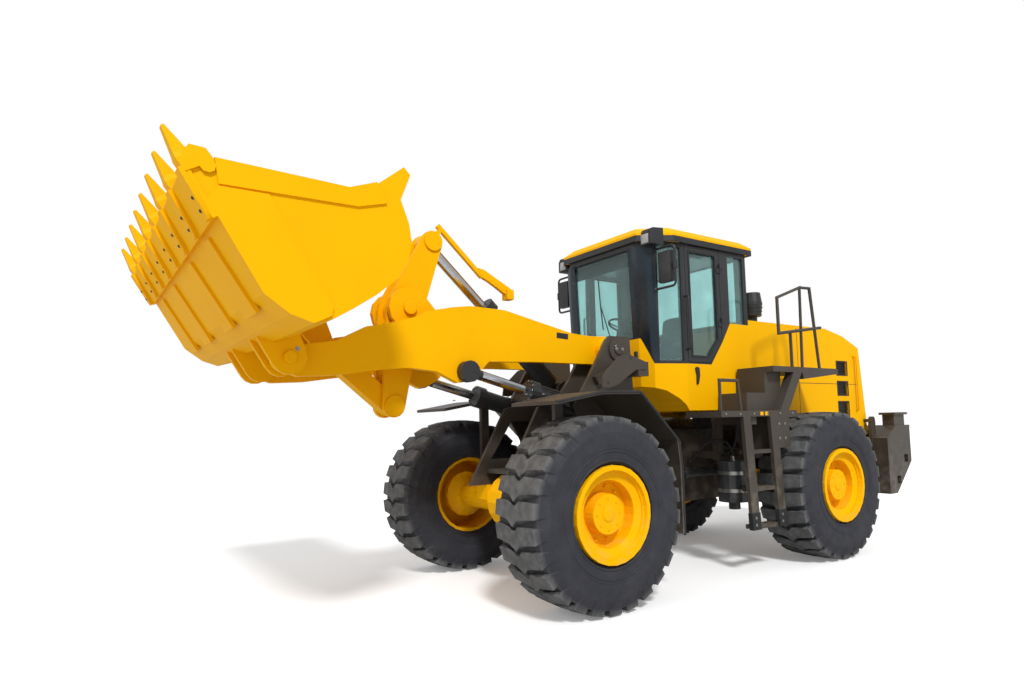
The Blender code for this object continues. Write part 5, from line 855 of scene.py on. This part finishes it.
# Inside the cab
def cab_inside():
    base = pad("seat_cushion", (-0.71, -0.245, 2.14), (-0.225, 0.245, 2.285), 0.35, (-0.35, 0.3))
    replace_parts(base, "seat")
    pad("seat_back", (-0.72, -0.235, 2.29), (-0.60, 0.235, 2.80), 0.30, (-0.4, 0.35), -0.02)
    stand = bmesh.new()
    add_box(stand, (-0.70, -0.22, 2.08), (-0.24, 0.22, 2.16), 0.02)
    for k in range(5):
        grow = 0.012 * (k % 2)
        add_box(stand, (-0.64 - grow, -0.15 - grow, 1.83 + 0.05 * k),
                (-0.30 + grow, 0.15 + grow, 1.88 + 0.05 * k), 0.012)
    add_box(stand, (-0.67, -0.18, 1.711), (-0.27, 0.18, 1.84), 0.02)
    for side in (1, -1):
        add_box(stand, (-0.62, side * 0.20, 2.42), (-0.34, side * 0.245, 2.465), 0.015)
    piece("seat_stand", stand, "inside", REAR)
    wheel = bmesh.new()
    centre = (0.19, 0, 2.64)
    axis = Vector((-0.42, 0, 0.9)).normalized()
    grip = [(0.155 + 0.013 * math.cos(TAU * k / 10), 0.013 * math.sin(TAU * k / 10)) for k in range(10)]
    add_lathe(wheel, centre, axis, grip, 48, hollow=True)
    hub = Vector(centre) - axis * 0.03
    add_lathe(wheel, tuple(hub), axis, [(0.034, -0.03), (0.038, 0.0), (0.034, 0.022), (0.02, 0.028)], 20)
    across, up = basis(axis)[1:]
    for k in range(3):
        turn = TAU * k / 3 + 0.5
        reach = across * math.cos(turn) + up * math.sin(turn)
        add_tube(wheel, [tuple(hub + reach * 0.025), tuple(Vector(centre) + reach * 0.148)], 0.008, 8)
    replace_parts(piece("steering_wheel", wheel, "plastic", REAR, smooth=50), "steering_console")
    column = bmesh.new()
    add_tube(column, [(0.30, 0, 1.971), (0.27, 0, 2.36), tuple(hub - axis * 0.02)], 0.042, 16)
    add_box(column, (0.22, -0.22, 2.26), (0.37, 0.22, 2.46), 0.045)
    piece("steering_column", column, "inside", REAR)
    side_box = bmesh.new()
    add_box(side_box, (-0.62, -0.60, 1.711), (-0.10, -0.34, 2.22), 0.03)
    knob = [(0.006, -0.02), (0.016, 0.0), (0.012, 0.018)]
    for k in range(4):
        add_tube(side_box, [(-0.24 - 0.07 * k, -0.44, 2.21), (-0.235 - 0.07 * k, -0.44, 2.32)], 0.008, 8)
        add_lathe(side_box, (-0.235 - 0.07 * k, -0.44, 2.33), (0, 0, 1), knob, 14)
    piece("side_console", side_box, "inside", REAR)


cab_inside()


# Hood: three louvred holes a side, one above the other
HOLES = 3
HOLE_TOP = 2.274
HOLE_PITCH = 0.262
HOLE_HEIGHT = 0.17
HOLE_X = (-3.107, -2.867)
SLAT_PITCH = 0.034
SLAT = 0.006
SEAM_Y = (0.7385, 0.7415)
PRECLEANER_X, PRECLEANER_Y = -1.63, 0.40


def hood_details():
    for word, side in SIDES:
        slats_and_shade_plate = bmesh.new()
        for k in range(HOLES):
            top = HOLE_TOP - HOLE_PITCH * k
            for j in range(5):
                z = top - 0.012 - SLAT_PITCH * j
                add_prism(slats_and_shade_plate, [(-3.11, z), (-2.864, z), (-2.864, z - SLAT), (-3.11, z - SLAT)],
                          side * 0.712, side * 0.736, 0.001)
        # the black plate just behind the slats, over all three holes, is painted shade: it stands for the
        # dark space seen through them
        add_box(slats_and_shade_plate, (-3.125, side * 0.690, 1.55), (-2.85, side * 0.708, 2.30), 0.002)
        piece("louvres_and_shade_plate_" + word, slats_and_shade_plate, "plastic", "hood")
        frames = bmesh.new()
        for k in range(HOLES):
            top = HOLE_TOP - HOLE_PITCH * k
            low = top - HOLE_HEIGHT
            hole = [(HOLE_X[0], low), (HOLE_X[1], low), (HOLE_X[1], top), (HOLE_X[0], top)]
            add_border(frames, inset(hole, -0.012), hole, side * 0.737, side * 0.7455, 0.001)
        piece("louvre_frames_" + word, frames, "plastic", "hood")
        seam = bmesh.new()
        low, high = [side * y for y in SEAM_Y]
        add_box(seam, (-2.02, low, 1.605), (-2.014, high, 2.66), 0)
        add_box(seam, (-3.38, low, 1.98), (-2.02, high, 1.986), 0)
        piece("hood_seams_" + word, seam, "trim", "hood")
        latch = bmesh.new()
        add_box(latch, (-1.30, side * 0.738, 1.70), (-1.22, side * 0.752, 1.76), 0.006)
        add_bolt(latch, (-1.26, side * 0.751, 1.73), (0, side, 0), 0.012, 0.006)
        piece("hood_latch_" + word, latch, "plastic", "hood")
    fins = bmesh.new()
    for k in range(3):
        z = 2.83 + 0.045 * k
        radius = 0.116 + 0.006 * k
        fin = [(radius - 0.02, 0), (radius, 0), (radius, 0.012), (radius - 0.02, 0.018)]
        add_lathe(fins, (PRECLEANER_X, PRECLEANER_Y, z), (0, 0, 1), fin, 40, hollow=True)
    clamp = [(0.05, 0), (0.085, 0), (0.085, 0.014), (0.05, 0.02)]
    add_lathe(fins, (PRECLEANER_X, PRECLEANER_Y, 2.695), (0, 0, 1), clamp, 32, hollow=True)
    piece("precleaner_fins", fins, "plastic", "hood")
    boot = bmesh.new()
    loop = [(-1.04, y, z) for y, z in ((-0.70, 1.75), (-0.70, 2.58), (0.70, 2.58), (0.70, 1.75))]
    add_tube(boot, rounded(loop, 0.06), 0.016, 8)
    piece("cab_hood_seal", boot, "trim", REAR)


hood_details()


# Decks, tanks, fenders
# (x, z) shares of the tyre's radius from the wheel's centre
FENDER_LINE_SHARES = ((0.546, 1.148), (-0.06, 1.252), (-0.615, 1.258), (-1.186, 0.707), (-1.22, 0.43),
                      (-1.22, -0.34))
TYRE_RADIUS = 0.81
DECK_Y = 1.260
TANK_X, TANK_Y = -0.45, 0.92
# deck bolts: x, z
DECK_BOLTS = ((-0.33, 0.50), (-0.33, 0.57), (-0.77, 0.50), (-0.77, 0.57), (-0.80, 1.35), (-0.90, 1.35),
              (-0.80, 1.50), (-0.90, 1.50))


def deck_details():
    for word, side in SIDES:
        foot = bmesh.new()
        for offset in (0, -0.44):
            low = -0.29 + offset
            lean = 0.08 * 0.16 / 1.19
            outline = [(low - 0.125, 0.449), (low + 0.005, 0.449), (low + lean + 0.005, 0.62),
                       (low + lean - 0.125, 0.62)]
            add_prism(foot, outline, side * 1.213, side * 1.266, 0.004)
        piece("ladder_feet_" + word, foot, "trim", REAR)
        bolts = bmesh.new()
        for x, z in DECK_BOLTS:
            y = 1.266 if z < 0.6 else DECK_Y
            add_bolt(bolts, (x, side * y, z), (0, side, 0), 0.010, 0.008)
        for k in range(6):
            add_bolt(bolts, (-1.05 + 0.22 * k, side * DECK_Y, 1.61), (0, side, 0), 0.008, 0.006)
        piece("deck_bolts_" + word, bolts, "steel", REAR)
        tags = bmesh.new()
        for x in (-0.62, -0.54):
            add_box(tags, (x, side * 1.259, 1.592), (x + 0.05, side * 1.2625, 1.628), 0.001)
        piece("deck_tags_" + word, tags, "yellow", REAR)
        straps = bmesh.new()
        for z in (0.82, 1.00):
            add_band(straps, (TANK_X, side * TANK_Y, z), (0, 0, 1), 0.155, 0.165, 0.018, 48)
            add_box(straps, (-0.49, side * 1.075, z - 0.018), (-0.41, side * 1.105, z + 0.018), 0.004)
            add_bolt(straps, (TANK_X, side * 1.105, z), (0, side, 0), 0.011, 0.01)
        piece("tank_straps_" + word, straps, "steel", REAR)
        fitting = bmesh.new()
        nut = [(0.026, 0), (0.026, 0.018), (0.018, 0.018), (0.018, 0.05), (0.014, 0.055)]
        add_lathe(fitting, (TANK_X, side * TANK_Y, 1.119), (0, 0, 1), nut, 6)
        piece("tank_fitting_" + word, fitting, "steel", REAR)
        lip = bmesh.new()
        line = [(AXLES[0][1] + TYRE_RADIUS * u, side * 1.264, AXLE_Z + TYRE_RADIUS * v - 0.012)
                for u, v in FENDER_LINE_SHARES]
        add_tube(lip, rounded(line, 0.03), 0.013, 8)
        piece("fender_lip_" + word, lip, "trim", FRONT)
        studs = bmesh.new()
        for k in range(5):
            add_bolt(studs, (0.718, side * (0.72 + 0.12 * k), 0.75), (-1, 0, 0), 0.011, 0.008)
            add_bolt(studs, (1.25 + 0.19 * k, side * 0.66, 1.822), (0, 0, 1), 0.010, 0.006)
        piece("fender_bolts_" + word, studs, "steel", FRONT)


# Pins, plates and steel pipes of the arm
# body, x, z, y of the outer face, plate radius, bolt circle, bolts, first bolt's angle, finish
BUCKET_PIN = (4.035, 2.087)
PIN_CAPS = ((FRONT, 0.85, 2.28, 0.630, 0.060, 0.040, 2, 0.0, "grey"),
            ("bucket", *BUCKET_PIN, 0.580, 0.045, 0.085, 1, 2.3, "yellow"),
            ("rocker", 2.921, 2.591, 0.238, 0.060, 0.0, 0, 0.0, "yellow"),
            (FRONT, *LIFT_FOOT, 0.610, 0.05, 0.0, 1, 0.0, "grey"))
BUCKET_CURL = math.radians(59)
EDGE_UNDER = -0.2499
SHANK = 0.026
TEETH = 8
TOOTH_PITCH = 0.42
# plan of an adapter's shank and side view of the corner adapter's flat end, for the bucket when level
SHANK_PLAN = ((0.925, 0.030), (0.965, 0.052), (1.232, 0.052), (1.232, -0.052), (0.965, -0.052),
              (0.925, -0.030))
CORNER_PLATE = ((1.328, -0.155), (1.279, -0.084), (1.218, -0.076), (1.171, -0.084), (1.150, -0.105),
                (1.150, -0.135), (1.170, -0.160), (1.214, -0.168), (1.225, -0.235), (1.30, -0.215))
# outer bolts past this would pass the bucket's side
BOLT_END_Y = 1.5


def bucket_at(ahead, y, up):
    """A machine point from one given for the bucket when level, about its pin."""
    turn = Matrix.Rotation(BUCKET_CURL, 2)
    place = turn @ Vector((ahead, up))
    return (BUCKET_PIN[0] + place.x, y, BUCKET_PIN[1] + place.y)


def bucket_details():
    down = Vector((math.sin(BUCKET_CURL), 0, -math.cos(BUCKET_CURL)))
    shanks, bolts = bmesh.new(), bmesh.new()
    for k in range(TEETH):
        y = (k - (TEETH - 1) / 2) * TOOTH_PITCH
        add_rings(shanks, [[at(*bucket_at(ahead, y + across, up)) for ahead, across in SHANK_PLAN]
                           for up in (EDGE_UNDER + 0.001, EDGE_UNDER - SHANK)])
        for ahead in (0.985, 1.065):
            add_bolt(bolts, bucket_at(ahead, y, EDGE_UNDER - SHANK), tuple(down), 0.008, 0.008)
        for face in (1, -1):
            if abs(y + face * 0.05) < BOLT_END_Y:
                place = bucket_at(1.262, y + face * 0.0497, EDGE_UNDER + 0.055)
                add_bolt(bolts, place, (0, face, 0), 0.007, 0.007)
    piece("adapter_shanks", shanks, "yellow", "bucket")
    outline = [bucket_at(ahead, 0, up)[::2] for ahead, up in CORNER_PLATE]
    for word, side in SIDES:
        corner = bmesh.new()
        add_prism(corner, outline, side * 1.5151, side * 1.5195, 0)
        piece("corner_plate_" + word, corner, "yellow", "bucket")
    piece("adapter_bolts", bolts, "block", "bucket")


def arm_details():
    for index, (body, x, z, y, radius, circle, count, start, finish) in enumerate(PIN_CAPS):
        caps, bolts = bmesh.new(), bmesh.new()
        for word, side in SIDES:
            add_lathe(caps, (x, side * y, z), (0, side, 0),
                      [(radius, -0.006), (radius, 0.007), (radius - 0.005, 0.011), (0.006, 0.011)], 36)
            for k in range(count):
                turn = TAU * k / count + start
                depth = 0.0105 if circle < radius else -0.029
                place = (x + circle * math.cos(turn), side * (y + depth), z + circle * math.sin(turn))
                add_bolt(bolts, place, (0, side, 0), 0.012, 0.010)
        piece("pin_caps_%d" % index, caps, finish, body)
        if count:
            piece("pin_bolts_%d" % index, bolts, "steel", body)
        else:
            bolts.free()
    plates = bmesh.new()
    plate = [(1.33, 2.375), (1.47, 2.383), (1.467, 2.437), (1.327, 2.429)]
    for side in (1, -1):
        add_prism(plates, plate, side * 0.4245, side * 0.4285, 0.0012)
    piece("boom_plates", plates, "plastic", "boom")
    base, head = [Vector((x, 0, z)) for x, z in (LIFT_FOOT, LIFT_EYE)]
    along = (head - base).normalized()
    across = Vector((-along.z, 0, along.x))
    for word, side in SIDES:
        pipe = bmesh.new()
        y = Vector((0, side * LIFT_Y, 0))
        steps = ((0.17, 0.080), (0.17, 0.120), (1.06, 0.120), (1.06, 0.095))
        outward = (across + Vector((0, 1.6 * side, 0))).normalized()
        path = [tuple(base + along * reach + outward * lift + y) for reach, lift in steps]
        add_tube(pipe, rounded(path, 0.03, 5), 0.010, 10)
        for reach in (0.35, 0.75):
            place = base + along * reach
            add_band(pipe, tuple(place + y), tuple(along), 0.0915, 0.098, 0.015, 32)
            add_band(pipe, tuple(place + outward * 0.118 + y), tuple(along), 0.009, 0.018, 0.014, 12)
        out = Vector((0, side, 0))
        for k in range(7):
            turn = TAU * (k / 12)
            place = base + along * 1.148 + y + (across * math.cos(turn) + out * math.sin(turn)) * 0.094
            add_bolt(pipe, tuple(place), tuple(along), 0.010, 0.012)
        piece("lift_pipe_" + word, pipe, "dark", "lift_%s_barrel" % word)
    for end, x in AXLES:
        body = end + "_frame"
        studs = bmesh.new()
        for k in range(12):
            turn = TAU * k / 12
            for side in (1, -1):
                place = (x + 0.205 * math.cos(turn), side * 0.148, AXLE_Z + 0.205 * math.sin(turn))
                add_bolt(studs, place, (0, side, 0), 0.010, 0.012)
        piece("axle_bolts_" + body, studs, "yellow", body)
    guide = bmesh.new()
    outline = [(2.09, 3.085), (2.03, 3.075), (1.70, 2.905), (1.685, 2.865), (1.72, 2.845), (1.80, 2.86),
               (1.96, 2.955), (2.075, 3.005)]
    add_prism(guide, outline, -0.022, 0.022, 0.004)
    add_box(guide, (1.70, -0.05, 2.80), (1.78, 0.05, 2.90), 0.008)
    piece("position_guide", guide, "yellow", "tilt_rod")


deck_details()
bucket_details()
arm_details()


# Floor and light
FLOOR_RADIUS = 90
# colour that the floor gives back to the object, and its glow where the camera sees it
FLOOR_BOUNCE = (0.62, 0.62, 0.62)
FLOOR_GLOW = 0.16
WORLD_LIGHT = 0.60
# name, direction it shines, strength, angle
SUNS = (("key", (-0.35, -0.80, -0.85), 2.6, 9), ("fill", (-0.9, 0.35, -0.5), 0.5, 40))


def studio():
    n = Nodes("studio_floor")
    rays = n.add("ShaderNodeLightPath")
    seen = n.math("MAXIMUM", rays.outputs["Is Camera Ray"], rays.outputs["Is Transmission Ray"])
    bright = n.mix(n.noise(0.6, 3.0), (0.93, 0.93, 0.93), (0.925, 0.927, 0.93))
    colour = n.mix(seen, FLOOR_BOUNCE, bright)
    n.finish(colour, n.ramp(n.noise(4.0), 0.3, 0.7, 0.85, 0.95))
    n.link(n.math("MULTIPLY", seen, FLOOR_GLOW), n.shader.inputs["Emission Strength"])
    n.shader.inputs["Emission Color"].default_value = (1, 1, 1, 1)
    bm = bmesh.new()
    turns = [TAU * k / 96 for k in range(96)]
    bm.faces.new([bm.verts.new((FLOOR_RADIUS * math.cos(t), FLOOR_RADIUS * math.sin(t), 0)) for t in turns])
    mesh = bpy.data.meshes.new("studio_floor")
    bm.to_mesh(mesh)
    bm.free()
    mesh.materials.append(n.material)
    floor = bpy.data.objects.new("studio_floor", mesh)
    bpy.context.scene.collection.objects.link(floor)

    world = bpy.data.worlds.new("studio")
    bpy.context.scene.world = world
    world.use_nodes = True
    tree = world.node_tree
    background = tree.nodes["Background"]
    background.inputs["Color"].default_value = (1, 1, 1, 1)
    path = tree.nodes.new("ShaderNodeLightPath")
    first = tree.nodes.new("ShaderNodeMath")
    first.operation = "MAXIMUM"
    tree.links.new(path.outputs["Is Camera Ray"], first.inputs[0])
    tree.links.new(path.outputs["Is Transmission Ray"], first.inputs[1])
    strength = tree.nodes.new("ShaderNodeMapRange")
    strength.inputs["To Min"].default_value = WORLD_LIGHT
    strength.inputs["To Max"].default_value = 1.0
    tree.links.new(first.outputs[0], strength.inputs["Value"])
    tree.links.new(strength.outputs["Result"], background.inputs["Strength"])
    for name, direction, energy, angle in SUNS:
        data = bpy.data.lights.new(name, "SUN")
        data.energy = energy
        data.angle = math.radians(angle)
        lamp_object = bpy.data.objects.new(name, data)
        lamp_object.rotation_euler = Vector(direction).to_track_quat("-Z", "Y").to_euler()
        bpy.context.scene.collection.objects.link(lamp_object)


studio()
bpy.context.scene.view_settings.view_transform = "Standard"
